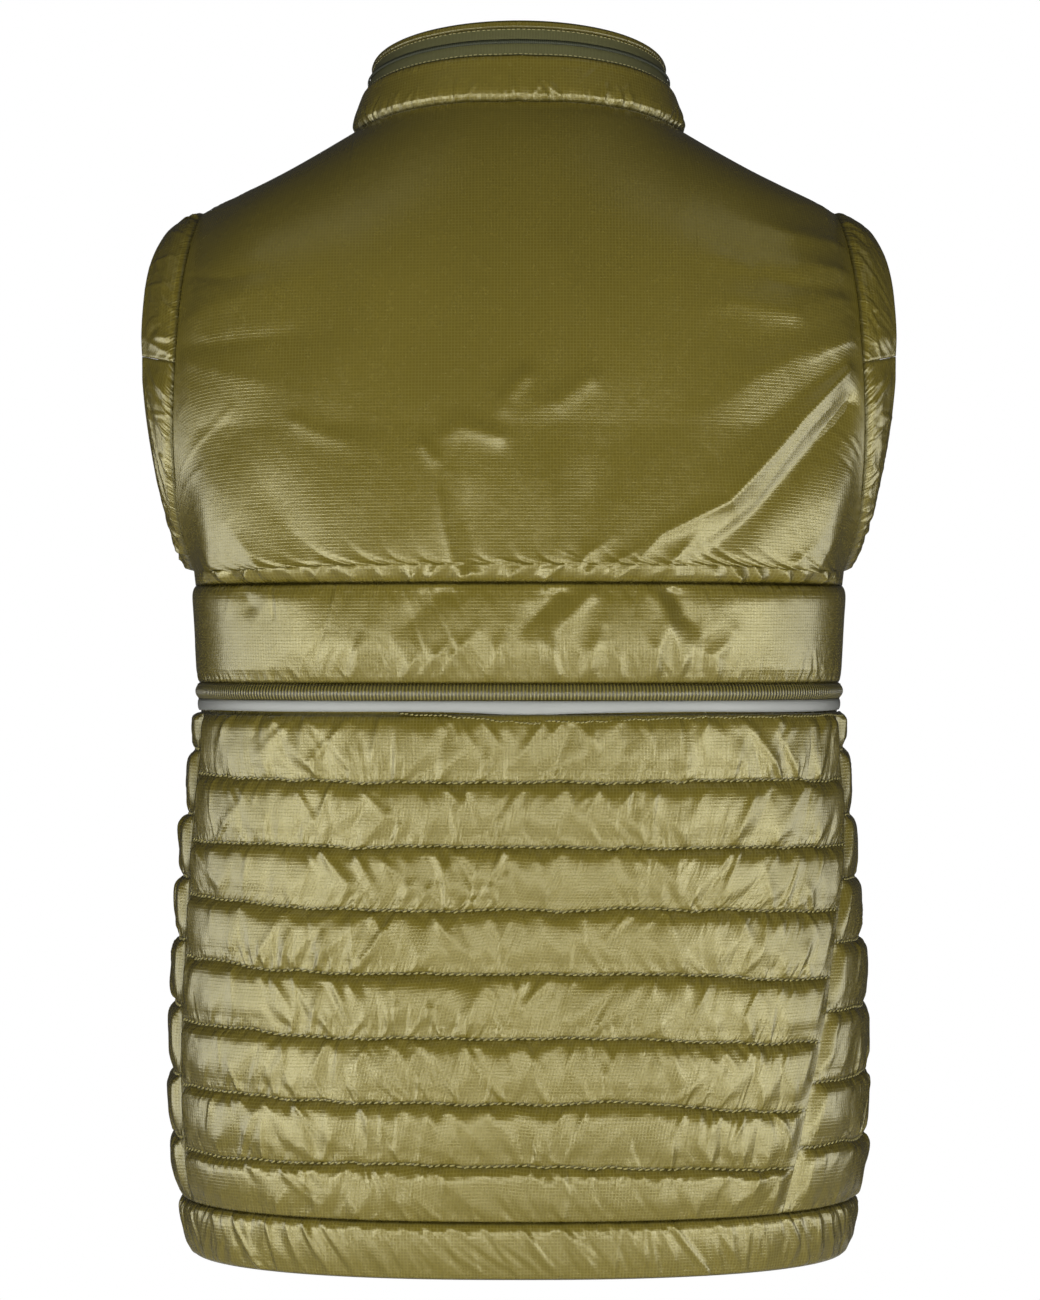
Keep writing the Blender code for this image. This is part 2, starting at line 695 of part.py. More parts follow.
def front_line(reach):
    """Points up the front at this distance from the middle plane, with the outward directions."""
    heights = np.array([HEM_EDGE, -0.6660, HEM_SEAM, -0.6, -0.55, -0.5, -0.45, -0.4])
    lower = body_point(-90 + zip_angle(heights, reach), heights)
    upper, upper_facing = upper_half(False)
    collar, collar_facing = collar_grid((0.0, 0.25, 0.5, 0.75, 1.0))
    line = np.concatenate([lower, upper[:, 0], collar[1:, 0]])
    line[:, 0] = reach
    along = np.gradient(line, axis=0)
    facing = unit(np.cross(along, np.array([1.0, 0.0, 0.0])))
    facing = facing * -np.sign(facing[:, 1:2])
    seam = len(lower) + len(upper) - 1
    rim = neck_rim(np.array([0.0]), np.array([-NECK_FRONT]))[0]
    facing[seam] = unit(np.array([0.0, rim[1], rim[2]]))
    return line, facing


STOP_BOX = (0.0085, 0.0085, 0.0032)


def build_front_zip():
    """Tape and chain in one length from hem to collar, a stop box at the foot and the slider at the top."""
    line, facing = front_line(ZIP_HALF)
    flip = np.array([-1.0, 1.0, 1.0])
    grid = np.stack([line * flip, line], axis=1), np.stack([facing, facing], axis=1)
    shell("front_zip_tape", grid, flat(grid), TAPE, sides=ENDS, wall=ZIP_CLOTH)
    narrow = np.array([CHAIN_HALF / ZIP_HALF, 1.0, 1.0])
    lift = ZIP_CLOTH / 2 + SEAM_GAP + CHAIN / 2
    grid = grid[0][1:-1] * narrow, grid[1][1:-1]
    shell("front_zip_chain", grid, flat(grid), TEETH, sides=(), lift=lift, wall=CHAIN)

    middle = np.array([0.0, 1.0, 1.0])
    lift = ZIP_CLOTH / 2 + SEAM_GAP + STOP_BOX[2] / 2
    foot = (line[0] + line[1]) / 2 * middle + facing[0] * lift
    stop_box = box_mesh(STOP_BOX, 0.0006)
    stop_box.transform(Matrix.Translation((0.0, -0.0036, 0.0)))
    placed("front_zip_box", stop_box, METAL, frame_at(foot, facing[0]))
    at = len(line) - 2
    lift = ZIP_CLOTH / 2 + SEAM_GAP + CHAIN + SEAM_GAP
    zip_slider("front_zip", frame_at(line[at] * middle + facing[at] * lift, facing[at]))


def frame_at(position, outward, along=(0.0, 0.0, 1.0)):
    """Placement with local Z outward and local Y along the zip."""
    z = Vector(outward).normalized()
    y = Vector(along) - Vector(along).dot(z) * z
    y.normalize()
    x = y.cross(z)
    turn = Matrix((x, y, z)).transposed().to_4x4()
    return Matrix.Translation(Vector(position)) @ turn


def box_mesh(size, round_off):
    mesh = bmesh.new()
    bmesh.ops.create_cube(mesh, size=1.0)
    bmesh.ops.scale(mesh, vec=size, verts=mesh.verts)
    if round_off:
        bmesh.ops.bevel(mesh, geom=mesh.edges[:], offset=round_off, segments=2, profile=0.5)
    return mesh


def placed(name, mesh, finish, place):
    made = finished(name, mesh, finish)
    made.matrix_world = place
    return made


def boolean(made, other, operation):
    step = made.modifiers.new(operation.lower(), "BOOLEAN")
    step.operation = operation
    step.solver = "EXACT"
    step.object = other


def helper(name, mesh, place):
    made = placed(name, mesh, METAL, place)
    PARTS.objects.unlink(made)
    CUTTERS.objects.link(made)
    made.hide_render = True
    made.display_type = "WIRE"
    return made


# Slider: the body rides on the chain, the bridge over it holds the pull tab's cross bar
SLIDER = (0.0082, 0.0100, 0.0024)
BRIDGE = (0.0018, 0.0074, 0.0034)
BRIDGE_HOLE = (0.0042, 0.0020)
PULL = (0.0060, 0.0240, 0.0012)
PULL_BAR = 0.0012
PULL_WINDOW = (0.0036, 0.0052)
PULL_PIVOT_BACK = 0.0010


def zip_slider(name, place):
    """Slider and pull tab, on a placement whose local Y runs along the zip and Z points outward."""
    body = box_mesh(SLIDER, 0.0007)
    body.transform(Matrix.Translation((0.0, 0.0, SLIDER[2] / 2)))
    slider = placed(name + "_slider", body, METAL, place)
    sunk = 0.0006
    bridge = box_mesh((BRIDGE[0], BRIDGE[1], BRIDGE[2] + sunk), 0.0003)
    bridge.transform(Matrix.Translation((0.0, 0.0, SLIDER[2] + (BRIDGE[2] - sunk) / 2)))
    boolean(slider, helper(name + "_bridge", bridge, place), "UNION")
    hole = box_mesh((BRIDGE[0] * 3, BRIDGE_HOLE[0], BRIDGE_HOLE[1]), 0.0)
    hole.transform(Matrix.Translation((0.0, 0.0, SLIDER[2] + BRIDGE_HOLE[1] / 2)))
    boolean(slider, helper(name + "_bridge_hole", hole, place), "DIFFERENCE")

    pivot = Vector((0.0, -PULL_PIVOT_BACK, SLIDER[2] + BRIDGE_HOLE[1] / 2))
    hinge = bpy.data.objects.new(name + "_hinge", None)
    PARTS.objects.link(hinge)
    hinge.matrix_world = place @ Matrix.Translation(pivot)
    tab = box_mesh(PULL, 0.0004)
    tab.transform(Matrix.Translation((0.0, PULL_BAR / 2 - PULL[1] / 2, 0.0)))
    pull = placed(name + "_pull", tab, METAL, Matrix.Identity(4))
    pull.parent = hinge
    window = box_mesh((PULL_WINDOW[0], PULL_WINDOW[1], PULL[2] * 3), 0.0)
    window.transform(Matrix.Translation((0.0, -PULL_BAR / 2 - PULL_WINDOW[1] / 2, 0.0)))
    boolean(pull, helper(name + "_pull_window", window, hinge.matrix_world.copy()), "DIFFERENCE")


def build_collar_slider():
    """The collar zip's slider waits at the wearer's left end of the zip, beside the front edge."""
    points, facing = collar_grid(COIL_ROWS)
    at = 2
    along = points[1, at + 1] - points[1, at - 1]
    out = facing[1, at]
    lift = ZIP_CLOTH / 2 + SEAM_GAP + COIL * 1.5 + SEAM_GAP
    zip_slider("collar_zip", frame_at(points[1, at] + out * lift, out, along))


OLIVE = material("olive ripstop nylon", (0.23, 0.19, 0.05), 0.35)
SILVER = material("silver reflective tape", (0.55, 0.55, 0.60), 0.45)
TAPE = material("olive zip tape", (0.10, 0.10, 0.03), 0.70)
TEETH = material("dark olive zip coil", (0.05, 0.06, 0.02), 0.45)
METAL = material("dark plated zinc", (0.08, 0.08, 0.07), 0.35, 1.0)

build_lower_panels()
build_back_trim()
build_upper_panels()
build_armhole_bands()
build_collar()
build_hem_band()
build_front_zip()
build_collar_slider()
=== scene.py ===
import bpy
import math
from collections import namedtuple

import numpy as np
import bmesh
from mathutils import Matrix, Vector


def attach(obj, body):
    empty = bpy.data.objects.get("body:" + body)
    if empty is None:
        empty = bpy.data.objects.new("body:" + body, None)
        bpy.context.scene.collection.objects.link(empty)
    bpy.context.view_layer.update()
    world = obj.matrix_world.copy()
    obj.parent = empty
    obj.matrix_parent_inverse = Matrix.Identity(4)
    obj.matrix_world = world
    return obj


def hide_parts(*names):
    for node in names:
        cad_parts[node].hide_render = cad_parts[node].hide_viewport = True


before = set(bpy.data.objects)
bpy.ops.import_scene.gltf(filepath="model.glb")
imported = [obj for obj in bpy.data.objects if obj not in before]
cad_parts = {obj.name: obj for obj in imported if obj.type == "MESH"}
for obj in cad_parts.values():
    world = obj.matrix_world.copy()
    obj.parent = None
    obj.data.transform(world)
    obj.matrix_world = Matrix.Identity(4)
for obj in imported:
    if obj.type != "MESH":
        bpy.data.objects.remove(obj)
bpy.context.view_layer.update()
scene = bpy.context.scene


# Camera: level with the middle of the vest, looking at its back from 2.33 m away.
# The lens is long, so the sides of the vest hardly spread.
VIEW_DISTANCE = 2.33
VIEW_HEIGHT = -0.320
VIEW_SCALE = 3813  # units of the plan that one metre takes up at one metre from the lens
PLAN_WIDTH, PLAN_HEIGHT = 1040, 1300

camera = bpy.data.objects.new("camera", bpy.data.cameras.new("camera"))
scene.collection.objects.link(camera)
camera.location = (0.0, VIEW_DISTANCE, VIEW_HEIGHT)
camera.rotation_euler = (math.radians(90), 0.0, math.radians(180))
camera.data.sensor_width = 36.0
camera.data.lens = camera.data.sensor_width * VIEW_SCALE / PLAN_HEIGHT
camera.data.shift_x = 0.0008
scene.camera = camera


# Studio: a pale floor far below the vest, which hangs as a wearer would hold it, in a dim room.
# Two low softboxes light the back and one the front. The others beside, below and above it show only as
# reflections in the gloss.
def colour(code):
    """sRGB hex to the linear colour that shaders take."""
    parts = [int(code[i : i + 2], 16) / 255 for i in (0, 2, 4)]
    return tuple(c / 12.92 if c <= 0.04045 else ((c + 0.055) / 1.055) ** 2.4 for c in parts) + (1.0,)


def node(tree, kind, settings=None, **inputs):
    """Adds one shader node. settings are its properties, and inputs are values or sockets, each given by
    the input's name or as _number."""
    made = tree.nodes.new("ShaderNode" + kind)
    for name, value in (settings or {}).items():
        setattr(made, name, value)
    for name, value in inputs.items():
        key = int(name[1:]) if name[0] == "_" and name[1:].isdigit() else name.replace("_", " ")
        socket = made.inputs[key]
        if isinstance(value, bpy.types.NodeSocket):
            tree.links.new(value, socket)
        else:
            socket.default_value = value
    return made


def new_material(name, **constants):
    """A material with constants on its shader's own inputs. Returns it with its node tree and its shader."""
    made = bpy.data.materials.new(name)
    made.use_nodes = True
    shader = made.node_tree.nodes["Principled BSDF"]
    for socket, value in constants.items():
        shader.inputs[socket.replace("_", " ")].default_value = value
    return made, made.node_tree, shader


def plain(name, code, rough, metallic=0.0):
    """A finish in one colour, with no pattern."""
    return new_material(name, Base_Color=colour(code), Roughness=rough, Metallic=metallic)[0]


scene.view_settings.view_transform = "Standard"
world = bpy.data.worlds.new("studio")
scene.world = world
world.use_nodes = True
tree = world.node_tree
tree.nodes.clear()
seen = node(tree, "Background", Color=colour("ffffff"), Strength=1.0)
room = node(tree, "Background", Color=colour("f4f2ee"), Strength=0.07)
direct = node(tree, "LightPath").outputs["Is Camera Ray"]
mixed = node(tree, "MixShader", _0=direct, _1=room.outputs[0], _2=seen.outputs[0])
node(tree, "OutputWorld", Surface=mixed.outputs[0])

bpy.ops.mesh.primitive_circle_add(vertices=96, radius=3.2, fill_type="NGON", location=(0.0, 0.0, -1.45))
floor = bpy.context.object
floor.name = "floor"
# Pale matt floor paint: rough and even, so it takes no mirror image of the vest.
floor.data.materials.append(plain("pale matt floor paint", "e9e8e6", 0.8))

BOTH = (1, -1)
AIMED_AT = Vector((0.0, 0.0, -0.36))
Softbox = namedtuple("Softbox", "name sides x y z width height power lights_cloth shows_in_gloss")
SOFTBOXES = (
    Softbox("low", BOTH, 0.35, 2.40, -0.80, 0.7, 1.0, 25.0, True, False),
    Softbox("tall", BOTH, 1.75, 1.05, -0.66, 1.2, 0.62, 10.4, False, True),
    Softbox("near", BOTH, 1.32, 1.85, -0.66, 0.9, 0.62, 7.2, False, True),
    Softbox("low_middle", (1,), 0.0, 2.45, -0.74, 1.8, 0.55, 11.5, False, True),
    Softbox("rim", BOTH, 2.05, -0.06, -0.70, 1.1, 0.8, 9.0, False, True),
    Softbox("floor", BOTH, 1.40, 1.40, -1.32, 1.4, 0.3, 6.4, False, True),
    Softbox("high_left", (1,), 1.30, 1.00, 1.90, 1.2, 0.7, 0.9, False, True),
    Softbox("high_right", (-1,), 1.30, 1.00, 1.90, 1.2, 0.7, 1.1, False, True),
    Softbox("front", (1,), 0.0, -2.40, 0.30, 1.3, 1.2, 44.0, True, False),
)
for box, side in ((box, side) for box in SOFTBOXES for side in box.sides):
    light = bpy.data.objects.new(box.name + "_softbox", bpy.data.lights.new(box.name, "AREA"))
    scene.collection.objects.link(light)
    light.data.shape = "RECTANGLE"
    light.data.size = box.width
    light.data.size_y = box.height
    light.data.energy = box.power
    if box.shows_in_gloss:
        light.data.use_nodes = True
        tree = light.data.node_tree  # a softbox glows a little more at its foot than at its top
        up = node(tree, "NewGeometry").outputs["Parametric"]
        up = node(tree, "SeparateXYZ", Vector=up).outputs["Y"]
        glow = node(tree, "MapRange", Value=up, _1=0.2, _2=0.9, _3=1.15, _4=0.85).outputs[0]
        tree.links.new(glow, tree.nodes["Emission"].inputs["Strength"])
    light.visible_diffuse = box.lights_cloth
    light.visible_glossy = box.shows_in_gloss
    light.location = (side * box.x, box.y, box.z)
    light.rotation_euler = (AIMED_AT - light.location).to_track_quat("-Z", "Y").to_euler()


# Quilted panels: glossy olive ripstop nylon over synthetic filling, stitched through in level rows.
# The shell is cut longer than the lining, so it puckers where the thread holds it.
YOKE_SEAM = -0.281  # heights of the seams in metres, downwards from the shoulders
WELT_SEAM = -0.3500
STRIP_EDGE = -0.3575
HEM_SEAM = -0.6495
HEM_EDGE = -0.6835
SQUARENESS = 2.35  # power of the rings round the body: 2 is an ellipse, more is squarer
CLOTH = 0.0026
SEAM_GAP = 0.0003
ZIP_HALF = 0.0100
# Heights of the quilted channels, from the top one down.
BACK_CHANNELS = (0.0392, 0.0341, 0.0398, 0.0364, 0.0363, 0.0381, 0.0352, 0.0329)
FRONT_CHANNELS = (0.0225, 0.0390, 0.0380, 0.0370, 0.0396, 0.0407, 0.0372, 0.0380)

Section = namedtuple("Section", "height half_width back front")
BODY = (
    Section(-0.2720, 0.1965, 0.1290, 0.1320),
    Section(-0.2810, 0.1955, 0.1280, 0.1315),
    Section(-0.3395, 0.1932, 0.1240, 0.1290),
    Section(-0.3575, 0.1922, 0.1225, 0.1280),
    Section(-0.3970, 0.1955, 0.1235, 0.1290),
    Section(-0.4310, 0.1988, 0.1246, 0.1301),
    Section(-0.4710, 0.2016, 0.1266, 0.1316),
    Section(-0.5070, 0.2041, 0.1291, 0.1331),
    Section(-0.5430, 0.2061, 0.1321, 0.1351),
    Section(-0.5810, 0.2066, 0.1349, 0.1364),
    Section(-0.6170, 0.2053, 0.1358, 0.1363),
    Section(-0.6495, 0.2015, 0.1335, 0.1340),
    Section(-0.6835, 0.1965, 0.1290, 0.1295),
)
SideSeam = namedtuple("SideSeam", "height left right")
SIDE_SEAM = (
    SideSeam(-0.3500, 14.0, 167.0),
    SideSeam(-0.4100, 14.3, 166.0),
    SideSeam(-0.4450, 14.7, 162.0),
    SideSeam(-0.4820, 15.3, 155.0),
    SideSeam(-0.5240, 16.0, 149.0),
    SideSeam(-0.5920, 17.0, 140.5),
    SideSeam(-0.6495, 18.0, 136.0),
)


def read(rows, column, at):
    """A column of a table at any height, on a smooth curve through its rows."""
    rows = sorted(rows)
    heights = np.array([row[0] for row in rows])
    values = np.array([getattr(row, column) for row in rows])
    slopes = np.gradient(values, heights)
    at = np.clip(at, heights[0], heights[-1])
    i = np.clip(np.searchsorted(heights, at) - 1, 0, len(rows) - 2)
    span = heights[i + 1] - heights[i]
    t = (at - heights[i]) / span
    start = (2 * t**3 - 3 * t**2 + 1) * values[i] + (t**3 - 2 * t**2 + t) * span * slopes[i]
    end = (3 * t**2 - 2 * t**3) * values[i + 1] + (t**3 - t**2) * span * slopes[i + 1]
    return start + end


def smoothstep(low, high, at):
    t = np.clip((at - low) / (high - low), 0.0, 1.0)
    return t * t * (3 - 2 * t)


def unit(vectors):
    return vectors / np.linalg.norm(vectors, axis=-1, keepdims=True)


def body_point(angle, height):
    """Point of the seam surface. Angle 0 is the wearer's left side, 90 the back and 270 the front."""
    turn = np.radians(angle)
    across = np.cos(turn)
    along = np.sin(turn)
    depth = np.where(along > 0, read(BODY, "back", height), read(BODY, "front", height))
    power = 2 / SQUARENESS
    x = read(BODY, "half_width", height) * np.sign(across) * np.abs(across) ** power
    y = depth * np.sign(along) * np.abs(along) ** power
    return np.stack([x, y, height + 0 * x], axis=-1)


def body_facing(angle, height):
    along = body_point(angle + 0.5, height) - body_point(angle - 0.5, height)
    rise = body_point(angle, height + 0.002) - body_point(angle, height - 0.002)
    return unit(np.cross(along, rise))


def even_angles(left, right, columns):
    """Angles from left to right at even steps of cloth, for a ring halfway down the vest."""
    fine = np.linspace(left, right, 2000)
    ring = body_point(fine, -0.5 + 0 * fine)
    run = np.concatenate([[0.0], np.cumsum(np.linalg.norm(np.diff(ring, axis=0), axis=1))])
    return np.interp(np.linspace(0.0, run[-1], columns + 1), run, fine)


def body_grid(heights, left, right, columns, wander=0.0):
    """Rows of points from the angle left(height) to right(height), with their outward directions.
    wander lifts or lowers each point, as a sewn line that isn't straight."""
    heights = np.array(heights)
    middle = np.array([heights.mean()])
    ends = float(left(middle)[0]), float(right(middle)[0])
    share = (even_angles(*ends, columns) - ends[0]) / (ends[1] - ends[0])
    height = np.repeat(heights[:, None], columns + 1, axis=1)
    angle = left(height) + (right(height) - left(height)) * share[None, :]
    return body_point(angle, height + wander), body_facing(angle, height + wander)


def ripples(shape, seed, scales, row_scale=1.0, lean=0.0):
    """Smooth noise on a grid: a sum of blurred random grids, one for each size of ripple in cells.
    row_scale below 1 draws the ripples out down the columns, and lean slants them."""
    random = np.random.default_rng(seed)
    total = np.zeros(shape)
    for size, weight in scales:
        grid = random.normal(size=(64, 64))
        at_row = np.arange(shape[0])[:, None] * row_scale / size + np.zeros(shape)
        at_column = (np.arange(shape[1])[None, :] + lean * np.arange(shape[0])[:, None]) / size
        i, j = np.floor(at_row).astype(int), np.floor(at_column).astype(int)
        u = smoothstep(0.0, 1.0, at_row - i)
        v = smoothstep(0.0, 1.0, at_column - j)
        i, j = i % 64, j % 64
        below, after = (i + 1) % 64, (j + 1) % 64
        top = grid[i, j] * (1 - v) + grid[i, after] * v
        low = grid[below, j] * (1 - v) + grid[below, after] * v
        total += weight * (top * (1 - u) + low * u)
    return total


def settle(form, facing, slack, held, rounds, band):
    """Cloth on a form, cut larger than it by slack (across, down), that finds its own puckers.
    held is 1 where the cloth is sewn down, and band is how far it may lie in or out of its form."""
    bend, push, kept_speed = 0.25, 0.00001, 0.93
    form = form.astype(np.float32)
    place = form.copy()
    facing = facing.astype(np.float32)
    free = (1 - held).astype(np.float32)[..., None]
    across, down = (np.broadcast_to(s, held.shape).astype(np.float32) for s in slack)

    def pair(array, di, dj):
        rows, columns = array.shape[:2]
        first = array[: rows - di, max(0, -dj) : columns - max(0, dj)]
        second = array[di:, max(0, dj) : columns + min(0, dj)]
        return first, second

    ties = []
    for di, dj, firm in ((0, 1, 1.0), (1, 0, 1.0), (1, 1, 0.5), (1, -1, 0.5), (0, 2, bend), (2, 0, bend)):
        a, b = pair(form, di, dj)
        step = np.linalg.norm(b - a, axis=-1)
        share = (dj * dj) / (di * di + dj * dj)
        longer_across = 1 + pair(across, di, dj)[0]
        longer_down = 1 + pair(down, di, dj)[0]
        rest = step * np.sqrt(share * longer_across**2 + (1 - share) * longer_down**2)
        ties.append((di, dj, firm, rest.astype(np.float32)))
    before = place.copy()
    for count in range(rounds):
        drift = (place - before) * kept_speed
        before = place.copy()
        place += free * (drift + facing * push)
        for di, dj, firm, rest in ties:
            a, b = pair(place, di, dj)
            free_a, free_b = pair(free, di, dj)
            every = slice(None)
            if max(di, abs(dj)) > 1:
                cuts = [(every, every)]
            elif di:
                cuts = [(slice(0, None, 2), every), (slice(1, None, 2), every)]
            else:
                cuts = [(every, slice(0, None, 2)), (every, slice(1, None, 2))]
            for cut in cuts:
                gap = b[cut] - a[cut]
                length = np.sqrt(np.einsum("ijk,ijk->ij", gap, gap)) + 1e-9
                fix = (firm * (1 - rest[cut] / length))[..., None] * gap
                fix = fix / (free_a[cut] + free_b[cut] + 1e-6) * (0.25 if len(cuts) == 1 else 1.0)
                change = free_b[cut] * fix
                a[cut] += free_a[cut] * fix
                b[cut] -= change
        if count % 4 == 3:
            depth = np.einsum("ijk,ijk->ij", place - form, facing)
            place += facing * (np.clip(depth, *band) - depth)[..., None] * free
    return place.astype(float)


def lengths(grid):
    """How far along its row and down its column each point lies, in metres."""
    run = np.cumsum(np.linalg.norm(np.diff(grid, axis=1, prepend=grid[:, :1]), axis=-1), axis=1)
    fall = np.cumsum(np.linalg.norm(np.diff(grid, axis=0, prepend=grid[:1]), axis=-1), axis=0)
    return run, fall


Gather = namedtuple("Gather", "spacing height width shortest longest lean top_share calm")


def pucker(run, depth, total, x, lean, reach, width, height):
    """One pucker that leaves its seam at x and fades after reach: a ridge with a trough on each side."""
    u = (run - x - lean * depth) / (width * (1 + 1.1 * depth / reach))
    u = np.where(u * lean > 0, u * 1.6, u * 0.8)
    along = smoothstep(-0.0005, 0.0022, depth) * np.clip(1 - depth / reach, 0, 1) ** 0.7
    total += height * along * (np.exp(-(np.abs(u) ** 1.35)) - 0.36 * np.exp(-((u / 2.6) ** 2)))


def gathers(grid, seams, kinds, seed):
    """Heights of many uneven puckers that start from a piece's seams, given as the rows that are sewn."""
    random = np.random.default_rng(seed)
    run, fall = lengths(grid)
    total = np.zeros(run.shape)
    width_all = run.max()
    for first, last in zip(seams, seams[1:]):
        rows = slice(first, last + 1)
        from_top = fall[rows] - fall[first]
        from_low = fall[last] - fall[rows]
        room = float(np.median(from_top[-1]))
        turns = random.uniform(0, 2 * np.pi, 4)
        for kind in kinds:
            x = random.uniform(0, kind.spacing)
            while x < width_all:
                slow = np.sin(x / 0.041 + turns[0]) + np.sin(x / 0.017 + turns[1])
                leaning = np.sin(x / 0.060 + turns[2]) + 0.6 * np.sin(x / 0.023 + turns[3])
                reach = room * (kind.shortest + (kind.longest - kind.shortest) * random.random() ** 1.4)
                height = kind.height * (0.35 + 1.1 * random.random() ** 1.6)
                height *= 1 if random.random() < 0.8 else -0.7
                height *= 1 - kind.calm * smoothstep(-0.1, 0.9, slow)
                width = kind.width * (0.7 + 0.7 * random.random())
                lean = kind.lean * (0.6 * leaning + 0.7 * random.normal())
                from_seam = from_top if random.random() < kind.top_share else from_low
                at = np.searchsorted(run[first], x)
                step = run[first, 1] - run[first, 0]
                span = int((3 * width + abs(lean) * reach) / step) + 4
                cut = slice(max(0, at - span), at + span)
                patch = total[rows, cut]
                pucker(run[rows, cut], from_seam[:, cut], patch, x, lean, reach, width, height)
                x += kind.spacing * (0.3 + 0.7 * random.exponential())
    return total


Crest = namedtuple("Crest", "spacing swing calm lean middle", defaults=(0.47,))
CREST_LIMITS = (0.12, 0.92)
USUAL_CHANNEL = 0.036


def crest_line(run, kind, random):
    """How far the crest lies above or below its middle at each point, as a share of the channel: a zigzag."""
    places, values = [-0.02], [0.0]
    turns = random.uniform(0, 2 * np.pi, 2)
    up = 1.0
    while places[-1] < run.max() + 0.02:
        step = 0.45 + 0.75 * random.random() + 0.25 * random.exponential()
        places.append(places[-1] + kind.spacing * step)
        slow = np.sin(places[-1] / 0.033 + turns[0]) + np.sin(places[-1] / 0.013 + turns[1])
        swing = kind.swing * (0.35 + 0.65 * random.random()) * (1 - kind.calm * smoothstep(0.1, 1.3, slow))
        values.append(up * swing)
        up = -up
    return np.interp(run, places, values)


def tented(grid, seams, kinds, seed, rough=1.0):
    """How full each point of a quilted piece is, from 0 on its sewn rows to 1 on the crests between them.
    Flat sides run from each sewn row up to the crest, so its zigzag folds them into V-shaped facets.
    rough is how much of the zigzag each column shows."""
    random = np.random.default_rng(seed)
    run, fall = lengths(grid)
    total = np.zeros(run.shape)
    for first, last in zip(seams, seams[1:]):
        rows = slice(first, last + 1)
        down = (fall[rows] - fall[first]) / (fall[last] - fall[first])
        turns = random.uniform(0, 2 * np.pi, 2)
        crest = kinds[0].middle
        for kind in kinds:
            leaning = np.sin(run[rows] / 0.047 + turns[0]) + 0.7 * np.sin(run[rows] / 0.019 + turns[1])
            slid = run[rows] - kind.lean * leaning * (down - 0.45) * USUAL_CHANNEL
            crest = crest + crest_line(slid, kind, random) * rough
        crest = np.clip(crest, *CREST_LIMITS)
        above = np.maximum(down / (0.25 * crest), 1e-3)
        below = np.maximum((1 - down) / (1 - crest), 1e-3)
        total[rows] = (above**-5.0 + 1.0 + below**-5.0) ** -0.2 * (1.12 - 0.42 * down)
    return total


def trimmed(grid):
    """Takes half a seam gap off each edge, towards the next row or column."""
    grid = grid.copy()
    for edge, inner in ((0, 1), (-1, -2)):
        grid[edge] += SEAM_GAP / 2 * unit(grid[inner] - grid[edge] + 1e-9)
        grid[:, edge] += SEAM_GAP / 2 * unit(grid[:, inner] - grid[:, edge] + 1e-9)
    return grid


def placed(name, data):
    """Puts a mesh in the scene. It rides on the vest."""
    made = bpy.data.objects.new(name, data)
    scene.collection.objects.link(made)
    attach(made, "root")
    return made


def wall(name, outer, inner, finish, seams=None, step=4):
    """Closed wall: a fine outside, a plain inside that skips rows and columns, and rims between them.
    Its maps hold metres along the cloth and metres from the nearest sewn row."""
    outer, inner = trimmed(outer), trimmed(inner)
    rows, columns = outer.shape[:2]
    number = np.arange(rows * columns).reshape(rows, columns)
    quads = np.stack([number[:-1, :-1], number[:-1, 1:], number[1:, 1:], number[1:, :-1]], axis=-1)
    faces = [tuple(face) for face in quads.reshape(-1, 4).tolist()]
    keep_rows = sorted(set(range(0, rows, step)) | {rows - 1})
    keep_columns = sorted(set(range(0, columns, step)) | {columns - 1})
    keep = np.zeros((rows, columns), bool)
    keep[np.ix_(keep_rows, keep_columns)] = True
    keep[[0, -1]] = True
    keep[:, [0, -1]] = True
    inside = -np.ones((rows, columns), int)
    inside[keep] = rows * columns + np.arange(keep.sum())
    for i, below in zip(keep_rows, keep_rows[1:]):
        for j, after in zip(keep_columns, keep_columns[1:]):
            loop = [(k, j) for k in range(i, below)] + [(below, k) for k in range(j, after)]
            loop += [(k, after) for k in range(below, i, -1)] + [(i, k) for k in range(after, j, -1)]
            faces.append(tuple(int(inside[at]) for at in loop if keep[at]))
    for edge in ((0,), (-1,), (slice(None), 0), (slice(None), -1)):
        under, over = inside[edge], number[edge]
        for k in range(len(under) - 1):
            faces.append(tuple(int(v) for v in (under[k + 1], under[k], over[k], over[k + 1])))
    points = np.concatenate([outer.reshape(-1, 3), inner[keep]])
    data = bpy.data.meshes.new(name)
    data.from_pydata(points.tolist(), [], faces)
    run, fall = lengths(inner)
    sewn = [0, rows - 1] if seams is None else seams
    nearest = np.min([np.abs(fall - fall[row]) for row in sewn], axis=0)
    maps = {
        "cloth_m": np.stack([run - run[:, columns // 2 : columns // 2 + 1], fall], axis=-1),
        "from_seam_m": np.stack([nearest, 0 * nearest], axis=-1),
    }
    corner = np.zeros(len(data.loops), int)
    data.loops.foreach_get("vertex_index", corner)
    for map_name, values in maps.items():
        values = np.concatenate([values.reshape(-1, 2), values[keep]])
        layer = data.uv_layers.new(name=map_name)
        layer.data.foreach_set("uv", values[corner].astype(np.float32).ravel())
    data.materials.append(finish)
    data.shade_smooth()
    mesh = bmesh.new()
    mesh.from_mesh(data)
    bmesh.ops.recalc_face_normals(mesh, faces=mesh.faces)
    mesh.to_mesh(data)
    mesh.free()
    data.set_sharp_from_angle(angle=math.radians(80))
    return placed(name, data)


SMOOTH = {"interpolation_type": "SMOOTHSTEP"}
COLOURS = {"data_type": "RGBA"}


